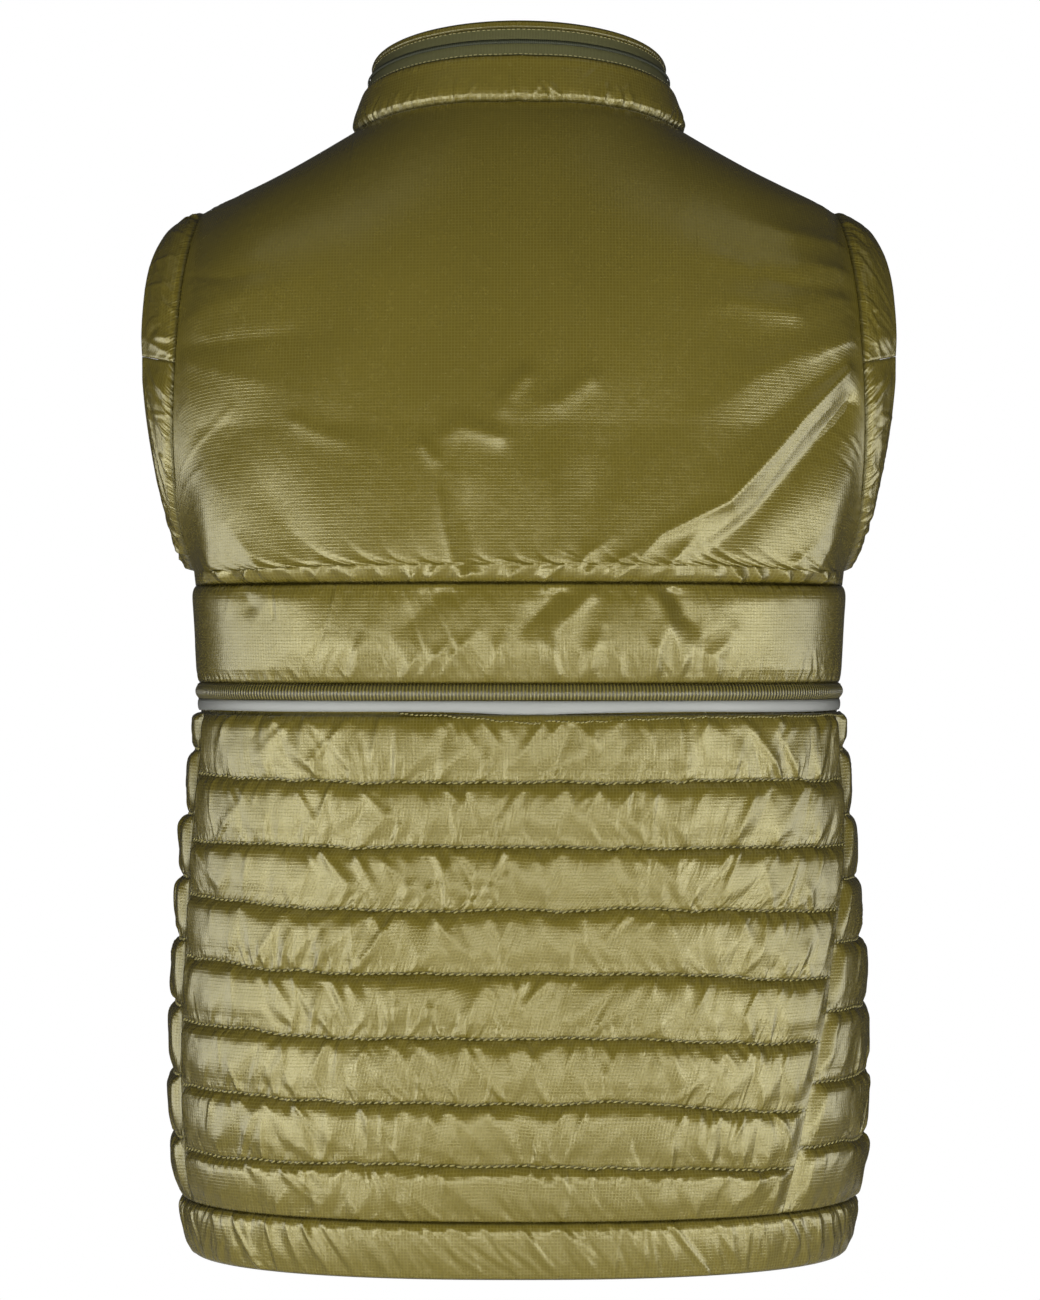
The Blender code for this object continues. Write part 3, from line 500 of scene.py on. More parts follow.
def nylon(name, tint, shade, rough, grid_pitch=0.0019):
    """Glossy ripstop: a square grid of thicker threads over a plain weave, drawn a little coarser than real
    so that it shows, tiny gathers beside the seams, faint creases all over, and painted shade along the sewn
    rows."""
    made, tree, shader = new_material(name, IOR=1.55, Specular_IOR_Level=1.0, Specular_Tint=colour("fffbd2"))
    place = node(tree, "UVMap", {"uv_map": "cloth_m"}).outputs[0]
    off_seam = node(tree, "UVMap", {"uv_map": "from_seam_m"}).outputs[0]
    off_seam = node(tree, "SeparateXYZ", Vector=off_seam).outputs["X"]
    solid = node(tree, "TexCoord").outputs["Object"]
    cells = node(tree, "VectorMath", {"operation": "SCALE"}, _0=place, Scale=1 / grid_pitch).outputs[0]
    parts = node(tree, "SeparateXYZ", Vector=cells).outputs
    ribs = []
    for part in (parts["X"], parts["Y"]):
        wave = node(tree, "Math", {"operation": "PINGPONG"}, _0=part, _1=0.5).outputs[0]
        ribs.append(node(tree, "MapRange", SMOOTH, Value=wave, _1=0.28, _2=0.5).outputs[0])
    grid = node(tree, "Math", {"operation": "MAXIMUM"}, _0=ribs[0], _1=ribs[1]).outputs[0]
    soft = node(tree, "TexNoise", Vector=solid, Scale=9.0, Detail=3.0, Roughness=0.55).outputs["Fac"]
    crease = node(tree, "TexNoise", Vector=solid, Scale=150.0, Detail=3.0, Roughness=0.55).outputs["Fac"]
    drawn = node(tree, "VectorMath", {"operation": "MULTIPLY"}, _0=place, _1=(430.0, 75.0, 1.0)).outputs[0]
    fine = node(tree, "TexNoise", Vector=drawn, Scale=1.0, Detail=1.5, Distortion=0.4).outputs["Fac"]
    beside = node(tree, "MapRange", SMOOTH, Value=off_seam, _1=0.0075, _2=0.0010).outputs[0]
    fine = node(tree, "Math", {"operation": "MULTIPLY"}, _0=fine, _1=beside).outputs[0]
    tone = node(tree, "Mix", COLOURS, _0=soft, _6=colour(shade), _7=colour(tint)).outputs[2]
    part = node(tree, "Math", {"operation": "MULTIPLY"}, _0=grid, _1=0.42).outputs[0]
    paint = node(tree, "Mix", COLOURS, _0=part, _6=tone, _7=colour("8f8644")).outputs[2]
    # Painted shade: the colour darkens to 4c4419 within 1.8 mm of each sewn row, where the grooves lie in
    # shade.
    painted_seam_shade = node(tree, "MapRange", SMOOTH, Value=off_seam, _1=0.0018, _2=0.0004).outputs[0]
    paint = node(tree, "Mix", COLOURS, _0=painted_seam_shade, _6=paint, _7=colour("4c4419")).outputs[2]
    tree.links.new(paint, shader.inputs["Base Color"])
    gloss = node(tree, "MapRange", Value=crease, _1=0.3, _2=0.7, _3=rough - 0.04, _4=rough + 0.06).outputs[0]
    tree.links.new(gloss, shader.inputs["Roughness"])
    low = node(tree, "Bump", Strength=0.35, Distance=0.0005, Height=crease).outputs[0]
    small = node(tree, "Bump", Strength=0.9, Distance=0.0011, Height=fine, Normal=low).outputs[0]
    bump = node(tree, "Bump", Strength=0.35, Distance=0.00012, Height=grid, Normal=small).outputs[0]
    tree.links.new(bump, shader.inputs["Normal"])
    return made


NYLON = nylon("glossy olive ripstop nylon", "70631f", "635718", 0.235)


def seam_side(column):
    return lambda height: read(SIDE_SEAM, column, height)


def zip_angle(height, reach):
    across = (reach / read(BODY, "half_width", height)) ** (SQUARENESS / 2)
    return np.degrees(np.arcsin(across))


def front_left(height):
    return -90 + zip_angle(height, ZIP_HALF + SEAM_GAP / 2)


def front_right(height):
    return 270 - zip_angle(height, ZIP_HALF + SEAM_GAP / 2)


Panel = namedtuple("Panel", "name channels left right columns seed")
PANELS = (
    Panel("back_lower", BACK_CHANNELS, seam_side("left"), seam_side("right"), 420, 11),
    Panel("front_lower_left", FRONT_CHANNELS, front_left, seam_side("left"), 230, 12),
    Panel("front_lower_right", FRONT_CHANNELS, seam_side("right"), front_right, 270, 13),
)
CHANNEL_ROWS = 20
CREST = 0.42  # where a channel is fullest, as a share of the way down it
PUFF = 0.0046
EVEN_SHARE = 0.25  # how much of the swell is even, the rest is folded
PUCKER_LIMITS = (-0.0022, 0.0026)
GROOVE_LIFT = 0.0014
QUILT_SLACK = 0.030
QUILT_ROUNDS = 6
QUILT_FREEDOM = (-0.0003, 0.0004)
LINE_WANDER = 0.0007
QUILT_CRESTS = (
    Crest(0.0115, 0.30, 0.50, 0.40, 0.62),
    Crest(0.0060, 0.08, 0.50, 0.60),
)
QUILT_GATHERS = (
    Gather(0.0130, 0.0022, 0.0031, 0.50, 1.00, 0.50, 0.72, 0.45),
    Gather(0.0080, 0.0012, 0.0018, 0.25, 0.60, 0.60, 0.55, 0.40),
    Gather(0.0046, 0.0008, 0.0011, 0.08, 0.22, 0.50, 0.50, 0.20),
)
# How far each sewn line of the back lies above its level row, at its ends and in its middle.
LineShift = namedtuple("LineShift", "left middle right")
BACK_LINES = (
    LineShift(0.0, 0.0, 0.0),
    LineShift(0.0027, 0.0, -0.0004),
    LineShift(-0.0030, -0.0035, -0.0055),
    LineShift(0.0045, 0.0, -0.0035),
    LineShift(0.0040, 0.0, -0.0065),
    LineShift(0.0023, -0.0012, -0.0074),
    LineShift(0.0018, 0.0, -0.0085),
    LineShift(-0.0007, 0.0, -0.0062),
    LineShift(0.0, 0.0, 0.0),
)


def row_shares(count):
    """Shares of a channel's height, closer together beside the stitch lines."""
    even = np.linspace(0.0, 1.0, count + 1)
    return even - 0.55 * np.sin(2 * np.pi * even) / (2 * np.pi)


def channel_rows(channels):
    """Row heights of quilted channels, how full each row is, and which rows are sewn."""
    heights = [WELT_SEAM, (WELT_SEAM + STRIP_EDGE) / 2]
    fill = [0.0, 0.0]
    sewn = [0]
    top = STRIP_EDGE
    for channel in channels:
        for share in row_shares(CHANNEL_ROWS)[:-1]:
            heights.append(top - share * channel)
            off_crest = (CREST - share) / CREST if share < CREST else (share - CREST) / (1 - CREST)
            fill.append(1 - off_crest**3.0)
        sewn.append(len(heights) - CHANNEL_ROWS)
        top -= channel
    return heights + [HEM_SEAM], np.array(fill + [0.0]), sewn + [len(heights)]


def seam_wander(panel, sewn, count):
    """How much each point lies above its level row. The sewn lines droop and wander, the others follow."""
    columns = panel.columns + 1
    across = np.linspace(-1.0, 1.0, columns)
    small = LINE_WANDER * ripples((len(sewn), columns), panel.seed + 30, ((9, 0.7), (24, 1.0)), 64)
    lines = small * smoothstep(0.0, 0.1, 1 - np.abs(across))
    if panel.name == "back_lower":
        left, middle, right = np.array(BACK_LINES).T[:, :, None]
        side = np.where(across < 0, left, right)
        lines[1:] += middle + (side - middle) * smoothstep(0.35, 1.0, np.abs(across))
    lines[[0, 1, -1]] = 0.0
    rows = np.arange(count)
    return np.stack([np.interp(rows, sewn, lines[:, k]) for k in range(columns)], axis=1)


def quilted(panel):
    heights, fill, sewn = channel_rows(panel.channels)
    wander = seam_wander(panel, sewn, len(heights))
    points, facing = body_grid(heights, panel.left, panel.right, panel.columns, wander)
    shape = points.shape[:2]
    across = np.linspace(0.0, 1.0, shape[1])
    edge = smoothstep(0.0, 0.030, np.minimum(across, 1 - across))
    rough = 0.25 + 0.75 * smoothstep(0.0, 0.20, across) * smoothstep(0.0, 0.08, 1 - across)
    folded = tented(points, sewn[1:], QUILT_CRESTS, panel.seed + 90, rough)
    fill = EVEN_SHARE * fill[:, None] + (1 - EVEN_SHARE) * folded
    fill[:3] = 0.0
    full = fill * edge[None, :] * (1 + 0.10 * ripples(shape, panel.seed, ((40, 1.0),), 2.2))
    lift = GROOVE_LIFT * np.ones(shape[0])
    lift[:3] = lift[-1] = 0.0
    held = np.zeros(shape)
    held[sewn] = 1.0
    held[:, [0, -1]] = 1.0
    raised = gathers(points, sewn[1:], QUILT_GATHERS, panel.seed) * (1 - held)
    raised = lift[:, None] + PUFF * full + np.clip(raised, *PUCKER_LIMITS) * (rough * edge)[None, :]
    form = points + facing * (CLOTH / 2 + raised)[..., None]
    slack = QUILT_SLACK + 0.020 * ripples(shape, panel.seed + 50, ((34, 1.0),), 1.8)
    slack = np.clip(slack, 0.0, 0.07)
    place = settle(form, facing, (slack, 0.0), held, QUILT_ROUNDS, QUILT_FREEDOM)
    made = wall(panel.name + "_quilting", place, points - facing * CLOTH / 2, NYLON, sewn[1:])
    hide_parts(panel.name)
    return facing, sewn, place


QUILTS = {panel.name: quilted(panel) for panel in PANELS}


# Quilting thread: thick olive polyester in a twisted lock stitch, in rows round the body along the quilting.
# Each stitch is one short lump of thread that leans with the twist and sinks into the groove.
Stitch = namedtuple("Stitch", "size pitch lean")
QUILT_STITCH = Stitch((0.0036, 0.0012, 0.0011), 0.0042, 0.45)
# Olive polyester thread: lighter and duller than the nylon, so the rows of stitches stand out in the grooves.
THREAD = plain("olive polyester thread", "a0975c", 0.5)


def between(path, run, at):
    """Points of a path at these lengths along it, where run holds the length at each of its own points."""
    return np.stack([np.interp(at, run, path[:, k]) for k in range(3)], axis=-1)


def stitched(name, lines, stitch=QUILT_STITCH, finish=THREAD, lift=0.0005):
    """One mesh of short thread lumps along lines, each given as (points, directions off the cloth)."""
    size, pitch, lean = stitch
    turn = np.radians([0, 90, 180, 270])
    rings = [(x, 0.5 * np.cos(t), 0.5 * np.sin(t)) for x in (-0.32, 0.32) for t in turn]
    lump = np.array([(-0.5, 0.0, 0.0), *rings, (0.5, 0.0, 0.0)]) * size
    sides = [(k, (k + 1) % 4) for k in range(4)]
    faces = [(0, 1 + b, 1 + a) for a, b in sides] + [(1 + a, 1 + b, 5 + b, 5 + a) for a, b in sides]
    faces += [(9, 5 + a, 5 + b) for a, b in sides]
    random = np.random.default_rng(5)
    points = []
    for path, out in lines:
        run = np.concatenate([[0.0], np.cumsum(np.linalg.norm(np.diff(path, axis=0), axis=1))])
        at = np.arange(pitch, run[-1] - pitch / 2, pitch)
        at = at + random.normal(size=len(at)) * pitch * 0.05
        spot = between(path, run, at)
        away = unit(between(out, run, at))
        ahead = between(path, run, at + pitch / 2)
        along = unit(ahead - spot + 1e-9)
        aside = unit(np.cross(away, along))
        tilt = lean * (1 + 0.3 * random.normal(size=(len(at), 1)))
        x = unit(along + aside * tilt)
        y = unit(np.cross(away, x))
        body = lump[None, :, 0, None] * x[:, None] + lump[None, :, 1, None] * y[:, None]
        body = body + lump[None, :, 2, None] * away[:, None]
        points.append(spot[:, None] + away[:, None] * lift + body)
    points = np.concatenate(points)
    count = len(points)
    every = [tuple(v + 10 * k for v in face) for k in range(count) for face in faces]
    data = bpy.data.meshes.new(name)
    data.from_pydata(points.reshape(-1, 3).tolist(), [], every)
    data.materials.append(finish)
    data.shade_smooth()
    return placed(name, data)


for name, (facing, sewn, place) in QUILTS.items():
    stitched(name + "_stitches", [(place[row, 1:-1], facing[row, 1:-1]) for row in sewn[2:-1]])


# Trim across the back: a padded band, a corded welt stitched along both edges, and a silver reflective strip.
# The strip covers the top edge of the quilting, whose gathered seam sags out below it.
BAND_SEAM = -0.3395
PAD_LIMITS = (-0.0024, 0.0034)
PAD_FREEDOM = (-0.0005, 0.0008)


def level(value):
    return lambda height: value + 0.0 * height


def back_rows(top, bottom, rows, columns):
    """Rows of points right across the back between two heights, as shares of the way down and as a grid."""
    share = np.linspace(0.0, 1.0, rows + 1)
    return share, body_grid(top + (bottom - top) * share, level(0.0), level(180.0), columns)


def fade_in(count, share):
    """0 on the first and last of count columns or rows, 1 away from them."""
    at = np.linspace(0.0, 1.0, count)
    return smoothstep(0.0, share, np.minimum(at, 1 - at))


def padded_piece(name, cad, grid, fill, kinds, seed, lift=0.0, slack=0.02, rounds=12, extra=0.0,
                 share=1.0):
    """A padded wall sewn along its edges. fill is the padding's height, kinds are its gathers, share is how
    much of them shows, extra is more of them, and lift is its large folds."""
    points, facing = grid
    shape = points.shape[:2]
    held = np.zeros(shape)
    held[[0, -1]] = 1.0
    held[:, [0, -1]] = 1.0
    raised = gathers(points, [0, shape[0] - 1], kinds, seed) * share + extra
    raised = np.clip(raised, *PAD_LIMITS) * fade_in(shape[1], 0.02)[None, :] * (1 - held)
    form = points + facing * (CLOTH / 2 + fill + lift + raised)[..., None]
    place = settle(form, facing, (slack + 0 * fill, 0.0), held, rounds, PAD_FREEDOM)
    made = wall(name, place, points - facing * CLOTH / 2, NYLON)
    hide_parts(cad)


def on_plan(points):
    """Where points lie on the plan, as the camera sees them. The front is read as if it were the back."""
    away = VIEW_DISTANCE - np.abs(points[..., 1])
    u = PLAN_WIDTH / 2 - points[..., 0] * VIEW_SCALE / away
    return u, PLAN_HEIGHT / 2 - (points[..., 2] - VIEW_HEIGHT) * VIEW_SCALE / away


Fold = namedtuple("Fold", "height width course sharpness", defaults=(1.7,))


def folds(points, table):
    """Height of the large soft folds, placed on the plan, over each point."""
    u, v = on_plan(points)
    total = np.zeros(u.shape)
    for fold in table:
        course = np.array(fold.course, float)
        nearest = np.full(u.shape, 1e9)
        along = np.zeros(u.shape)
        steps = np.diff(course, axis=0)
        long = np.linalg.norm(steps, axis=1)
        done = 0.0
        for start, step, length in zip(course[:-1], steps, long):
            t = np.clip(((u - start[0]) * step[0] + (v - start[1]) * step[1]) / length**2, 0, 1)
            gap = np.hypot(u - start[0] - t * step[0], v - start[1] - t * step[1])
            closer = gap < nearest
            nearest = np.where(closer, gap, nearest)
            along = np.where(closer, (done + t * length) / long.sum(), along)
            done += length
        width = fold.width * (0.8 + 0.4 * along)
        ridge = fold.height * np.exp(-((nearest / width) ** fold.sharpness))
        total += ridge * (1 - smoothstep(0.5, 1.0, along) * 0.7)
    return total


BAND_FOLDS = (
    Fold(0.0014, 10, ((356, 684), (362, 650), (372, 628))),
    Fold(0.0013, 7, ((404, 684), (414, 664), (424, 652))),
    Fold(0.0014, 7, ((420, 684), (434, 660), (452, 640))),
    Fold(0.0015, 8, ((440, 684), (456, 656), (478, 630))),
    Fold(0.0018, 9, ((490, 684), (500, 650), (508, 624))),
    Fold(0.0022, 9, ((560, 684), (552, 652), (546, 628))),
    Fold(0.0022, 10, ((585, 684), (592, 650), (602, 624))),
    Fold(0.0014, 6, ((622, 684), (618, 660), (610, 642))),
    Fold(0.0022, 9, ((650, 684), (656, 648), (668, 612))),
    Fold(0.0012, 6, ((675, 684), (680, 664), (690, 648))),
    Fold(0.0014, 8, ((716, 684), (712, 656), (730, 632))),
    Fold(-0.0020, 14, ((560, 592), (536, 616), (516, 640))),
    Fold(0.0018, 12, ((590, 592), (566, 620), (548, 640))),
    Fold(-0.0024, 12, ((672, 590), (684, 616), (700, 636))),
    Fold(0.0020, 11, ((655, 592), (664, 620), (676, 646))),
    Fold(-0.0016, 18, ((440, 592), (418, 616), (394, 640))),
    Fold(-0.0014, 12, ((250, 590), (258, 604), (270, 612))),
    Fold(0.0014, 30, ((300, 600), (300, 640), (310, 676))),
    Fold(0.0014, 34, ((760, 604), (768, 640), (770, 672))),
)
BAND_SWELL = 0.0056
rows, columns = 36, 380
share, grid = back_rows(YOKE_SEAM, BAND_SEAM, rows, columns)
BAND_CRESTS = (Crest(0.0100, 0.20, 0.60, 0.50, 0.66), Crest(0.0050, 0.08, 0.50, 0.60))
on_back = np.linspace(0.0, 1.0, columns + 1)
rough = smoothstep(0.20, 0.30, on_back) * smoothstep(0.20, 0.32, 1 - on_back)
rounded = ((1 - np.abs(2 * share - 1) ** 2.2) * (0.62 + 0.62 * share))[:, None]
full = 0.62 * rounded + 0.40 * tented(grid[0], [0, rows], BAND_CRESTS, 35, rough) ** 0.6
sloped = ((1 - np.exp(-share / 0.055)) * (1.05 - 0.75 * share) * smoothstep(0.0, 0.16, 1 - share))[:, None]
full = full + (sloped - full) * (1 - rough)
fill = BAND_SWELL * full * (0.35 * fade_in(columns + 1, 0.04) + 0.65 * fade_in(columns + 1, 0.16))[None, :]
BAND_GATHERS = (
    Gather(0.0100, 0.0009, 0.0019, 0.12, 0.45, 0.45, 0.25, 0.9),
    Gather(0.0050, 0.0006, 0.0014, 0.05, 0.20, 0.40, 0.40, 0.6),
)
lift = folds(grid[0], BAND_FOLDS) * smoothstep(0.0, 0.10, np.minimum(share, 1 - share))[:, None]
padded_piece("back_mid_band", "back_band", grid, fill, BAND_GATHERS, 32, lift)


def ribbed(name, tint, shade, rough, pitch, depth, gloss=0.5):
    """Cloth or coil with fine even ribs across its length, at a real pitch. Its colour is painted lighter on
    the crests as a highlight and darker between the ribs as shade, with random flecks.
    """
    made, tree, shader = new_material(name, Roughness=rough, Specular_IOR_Level=gloss)
    place = node(tree, "UVMap", {"uv_map": "cloth_m"}).outputs[0]
    along = node(tree, "SeparateXYZ", Vector=place).outputs["X"]
    turns = node(tree, "Math", {"operation": "MULTIPLY"}, _0=along, _1=2 * math.pi / pitch).outputs[0]
    wave = node(tree, "Math", {"operation": "SINE"}, _0=turns).outputs[0]
    rib = node(tree, "MapRange", Value=wave, _1=-1.0, _2=1.0).outputs[0]
    solid = node(tree, "TexCoord").outputs["Object"]
    fleck = node(tree, "TexNoise", Vector=solid, Scale=420.0, Detail=3.0).outputs["Fac"]
    both = node(tree, "Math", {"operation": "MULTIPLY_ADD"}, _0=fleck, _1=0.3, _2=rib).outputs[0]
    mixed = node(tree, "MapRange", Value=both, _1=0.1, _2=1.1).outputs[0]
    # Painted highlight and shade: the colour runs from shade between the ribs to tint on their crests, with
    # random flecks.
    paint = node(tree, "Mix", COLOURS, _0=mixed, _6=colour(shade), _7=colour(tint)).outputs[2]
    tree.links.new(paint, shader.inputs["Base Color"])
    bump = node(tree, "Bump", Strength=0.8, Distance=depth, Height=both).outputs[0]
    tree.links.new(bump, shader.inputs["Normal"])
    return made


# Corded olive welt: upright ribs 2.1 mm apart, with a painted highlight on their crests and painted shade,
# nearly black, between them.
CORDED = ribbed("corded olive welt", "857b36", "332d0e", 0.34, 0.0021, 0.0012, 0.9)
WELT_SWELL = 0.0030
rows, columns = 10, 300
share, (points, facing) = back_rows(BAND_SEAM, WELT_SEAM, rows, columns)
fill = WELT_SWELL * (1 - np.abs(2 * share - 1) ** 2.0)[:, None] * np.ones((1, columns + 1))
fill = fill * (1 + 0.12 * ripples(fill.shape, 41, ((18, 1.0),)))
welt_out = points + facing * (CLOTH / 2 + fill)[..., None]
welt = wall("back_corded_welt", welt_out, points - facing * CLOTH / 2, CORDED)
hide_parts("back_welt")
# Dark olive thread: a broken dark line close to each edge of the welt.
EDGE_THREAD = plain("dark olive thread", "3b3512", 0.6)
edges = [(welt_out[row], facing[row]) for row in (1, -2)]
EDGE_STITCH = Stitch((0.0016, 0.0007, 0.0005), 0.0021, 0.0)
stitched("welt_edge_stitches", edges, EDGE_STITCH, EDGE_THREAD, lift=0.0001)

# Silver reflective tape: tiny glass beads on grey cloth, even and pale from every side, with a faint grain.
silver, tree, shader = new_material("silver reflective tape", Roughness=0.5)
solid = node(tree, "TexCoord").outputs["Object"]
fine = node(tree, "TexNoise", Vector=solid, Scale=900.0, Detail=2.0).outputs["Fac"]
wide = node(tree, "TexNoise", Vector=solid, Scale=14.0, Detail=2.0).outputs["Fac"]
tone = node(tree, "Mix", COLOURS, _0=wide, _6=colour("969893"), _7=colour("a8aaa5")).outputs[2]
tree.links.new(tone, shader.inputs["Base Color"])
grain = node(tree, "Bump", Strength=0.3, Distance=0.0001, Height=fine).outputs[0]
tree.links.new(grain, shader.inputs["Normal"])
STRIP_CLOTH = 0.0014
STRIP_TUCK = 0.0008
STRIP_SHORT = 0.0012
share, (points, facing) = back_rows(WELT_SEAM + STRIP_TUCK, STRIP_EDGE + STRIP_SHORT, 5, columns)
across = np.linspace(-1.0, 1.0, columns + 1)
wave = 0.0003 * (np.sin(across * 17.0) + np.sin(across * 9.0 + 1.0))
points = points + facing * (CLOTH / 2 + 2 * SEAM_GAP + STRIP_CLOTH / 2 + wave[None, :])[..., None]
dip = 0.0011 * np.exp(-((across / 0.10) ** 2)) - 0.0006 * np.exp(-(((across + 0.45) / 0.2) ** 2))
sag = 0.0003 * np.sin(across * 11.0 + 0.5) + dip
points[..., 2] -= sag[None, :] * share[:, None]
rounded = np.array([0.0, 0.0006, 0.0008, 0.0008, 0.0006, 0.0])[:, None, None]
back = points - facing * STRIP_CLOTH / 2
strip = wall("silver_strip", points + facing * rounded, back, silver)
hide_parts("reflective_strip")

# The sagging edge, as points of the plan along its foot. Its angles round the body are found in a few rounds,
# because how far away a point lies depends on its angle.
SAG = ((400, 713.5), (437, 715), (481, 719), (533, 725), (546, 722), (590, 723), (640, 720), (680, 718),
       (760, 717), (846, 715))
LIP_UP = 0.0004  # how far it starts above the strip's edge, then how far it stands out, then its thickness
LIP_PROUD = 0.003
LIP_CLOTH = 0.0008
BACK_DEPTH, BACK_HALF_ON_PLAN = 0.126, 330
u = np.linspace(SAG[0][0], SAG[-1][0], 280)
low = np.interp(u, *np.array(SAG).T)
low = low + 0.5 * np.sin(u / 6.0) + 0.4 * np.sin(u / 3.3 + 1.0)
off_middle = PLAN_WIDTH / 2 - u
away = VIEW_DISTANCE - BACK_DEPTH * (1 - np.clip(np.abs(off_middle) / BACK_HALF_ON_PLAN, 0, 1) ** 2.6)
for _ in range(3):
    x = off_middle * away / VIEW_SCALE
    out_to = np.abs(x) / read(BODY, "half_width", STRIP_EDGE)
    angle = np.degrees(np.arccos(np.sign(x) * np.clip(out_to, 0, 1) ** (SQUARENESS / 2)))
    away = VIEW_DISTANCE - body_point(angle, STRIP_EDGE + 0 * angle)[:, 1]
low_z = VIEW_HEIGHT - (low - PLAN_HEIGHT / 2) * (away - LIP_PROUD) / VIEW_SCALE
share = np.linspace(0.0, 1.0, 9)[:, None]
height = (STRIP_EDGE + LIP_UP) + (low_z[None, :] - STRIP_EDGE - LIP_UP) * share
angle = angle[None, :] + 0 * height
points, facing = body_point(angle, height), body_facing(angle, height)
under = np.clip((STRIP_EDGE - height) / BACK_CHANNELS[0], 0, 1)
clear = 0.0050 * (1 - np.clip((CREST - under) / CREST, 0, 1) ** 2.3) + 0.0020
bead = 0.0010 * np.sin(np.pi * share) ** 0.5 + 0.00025 * ripples(height.shape, 77, ((3.0, 1.0),), 0.4)
outer = points + facing * (CLOTH / 2 + clear + bead)[..., None]
inner = points + facing * (CLOTH / 2 + clear - LIP_CLOTH)[..., None]
lip = wall("sagging_seam_edge", outer, inner, NYLON, step=2)
SEAM_STITCH = Stitch((0.0023, 0.0009, 0.0007), 0.0028, 0.35)
stitched("sagging_seam_stitches", [(outer[-2], facing[-2])], SEAM_STITCH)


# Yoke and upper fronts: plain panels of the same nylon, lightly padded, joined along the shoulders.
# Long soft folds run from the armholes towards the middle, and short puckers stand along the lower seam.
FRONT_SEAM = -0.3500
UNDERARM = -0.272
SHOULDER_TIP = -0.0545
ARMHOLE_BACK = 0.075  # how far the armholes and the neck reach back, forward and sideways
ARMHOLE_FRONT = 0.072
NECK_HALF = 0.0980
NECK_MIDDLE = -0.004
NECK_BACK = 0.072
NECK_FRONT = 0.080
ArmholeWidth = namedtuple("ArmholeWidth", "height seam")
ARMHOLE = (
    ArmholeWidth(-0.272, 0.1965),
    ArmholeWidth(-0.250, 0.2010),
    ArmholeWidth(-0.210, 0.2040),
    ArmholeWidth(-0.170, 0.2040),
    ArmholeWidth(-0.140, 0.2025),
    ArmholeWidth(-0.114, 0.2010),
    ArmholeWidth(-0.080, 0.1970),
    ArmholeWidth(-0.0545, 0.1920),
)
Ridge = namedtuple("Ridge", "across height")
RIDGE = (
    Ridge(0.0000, 0.0340),
    Ridge(0.0300, 0.0300),
    Ridge(0.0600, 0.0180),
    Ridge(0.0980, -0.0055),
    Ridge(0.1400, -0.0300),
    Ridge(0.1920, -0.0545),
)
Chest = namedtuple("Chest", "height back front")
CHEST = (
    Chest(-0.350, 0.1240, 0.1285),
    Chest(-0.281, 0.1280, 0.1315),
    Chest(-0.210, 0.1340, 0.1385),
    Chest(-0.120, 0.1355, 0.1400),
    Chest(0.000, 0.1350, 0.1390),
)


def grid_facing(points, centre):
    """Directions facing away from a centre, for a grid of points."""
    facing = unit(np.cross(np.gradient(points, axis=0), np.gradient(points, axis=1)))
    outward = np.sum(facing * (points - np.array(centre)), axis=-1).mean()
    return facing if outward > 0 else -facing


def roundness(x, back):
    tip = smoothstep(0.06, 0.19, np.abs(x))
    return 2.4 + 0.4 * tip if back else 1.7 + 0.7 * tip


def upper_depth(x, z, back):
    """How far forward or back the upper body lies, before the armholes cut into it."""
    bottom = YOKE_SEAM if back else FRONT_SEAM
    power = roundness(x, back)
    rise = np.clip((z - bottom) / (read(RIDGE, "height", np.abs(x)) - bottom), 0, 1)
    front_or_back = read(CHEST, "back", z) if back else -read(CHEST, "front", z)
    return NECK_MIDDLE + (front_or_back - NECK_MIDDLE) * (1 - rise**power) ** (1 / power)


def neck_ring(turn, back):
    """Points of the neck seam on the wearer's left, from the middle (0) to the shoulder (90)."""
    turn = np.radians(turn)
    x = NECK_HALF * np.sin(turn)
    reach = (NECK_BACK if back else NECK_FRONT) * np.cos(turn)
    bottom = YOKE_SEAM if back else FRONT_SEAM
    stand = read(CHEST, "back" if back else "front", 0.0) + (-NECK_MIDDLE if back else NECK_MIDDLE)
    power = roundness(x, back)
    rise = (1 - (reach / stand) ** power) ** (1 / power)
    z = bottom + (read(RIDGE, "height", x) - bottom) * rise
    return x, NECK_MIDDLE + (reach if back else -reach), z


def neck_rim(x, y):
    """Direction through the wall at the neck seam, shared by the body and the collar."""
    out = unit(np.stack([x, y - NECK_MIDDLE], axis=-1))
    return unit(np.concatenate([out, 0.75 + 0 * out[..., :1]], axis=-1))


def neck_turns(back, count):
    inner = 0.0 if back else math.degrees(math.asin((ZIP_HALF + SEAM_GAP / 2) / NECK_HALF))
    return inner + (90 - inner) * np.linspace(0.0, 1.0, count + 1)


def armhole_y(turn, depth):
    return depth * np.sin(turn) + NECK_MIDDLE * (1 - np.cos(turn)) / 2


def armhole_point(turn, back):
    """Point of the armhole seam, from the underarm (0) to the shoulder tip (180), on the wearer's left."""
    turn = np.radians(turn)
    middle = (SHOULDER_TIP + UNDERARM) / 2
    height = middle - (SHOULDER_TIP - UNDERARM) / 2 * np.cos(turn)
    depth = ARMHOLE_BACK if back else -ARMHOLE_FRONT
    return read(ARMHOLE, "seam", height), armhole_y(turn, depth), height


def armhole_rim(turn, back):
    """Direction through the wall at the armhole seam, shared by the body and the armhole band."""
    turn = np.radians(turn)
    side = 1.0 if back else -1.0
    x = 0.72 + 0.28 * np.cos(turn)
    z = 0.89 * np.maximum(0.0, -np.cos(turn)) - 0.1 * np.maximum(0.0, np.cos(turn))
    return unit(np.stack([x, side * np.sin(turn), z], axis=-1))


def armhole_turns(count):
    share = np.linspace(0.0, 1.0, count + 1)
    return 90 * share + 0.5 * np.degrees(np.arccos(1 - 2 * share))


UpperSteps = namedtuple("UpperSteps", "below rows neck shoulder")
YOKE_STEPS = UpperSteps(13, 180, 104, 94)
FRONT_STEPS = UpperSteps(30, 150, 60, 54)


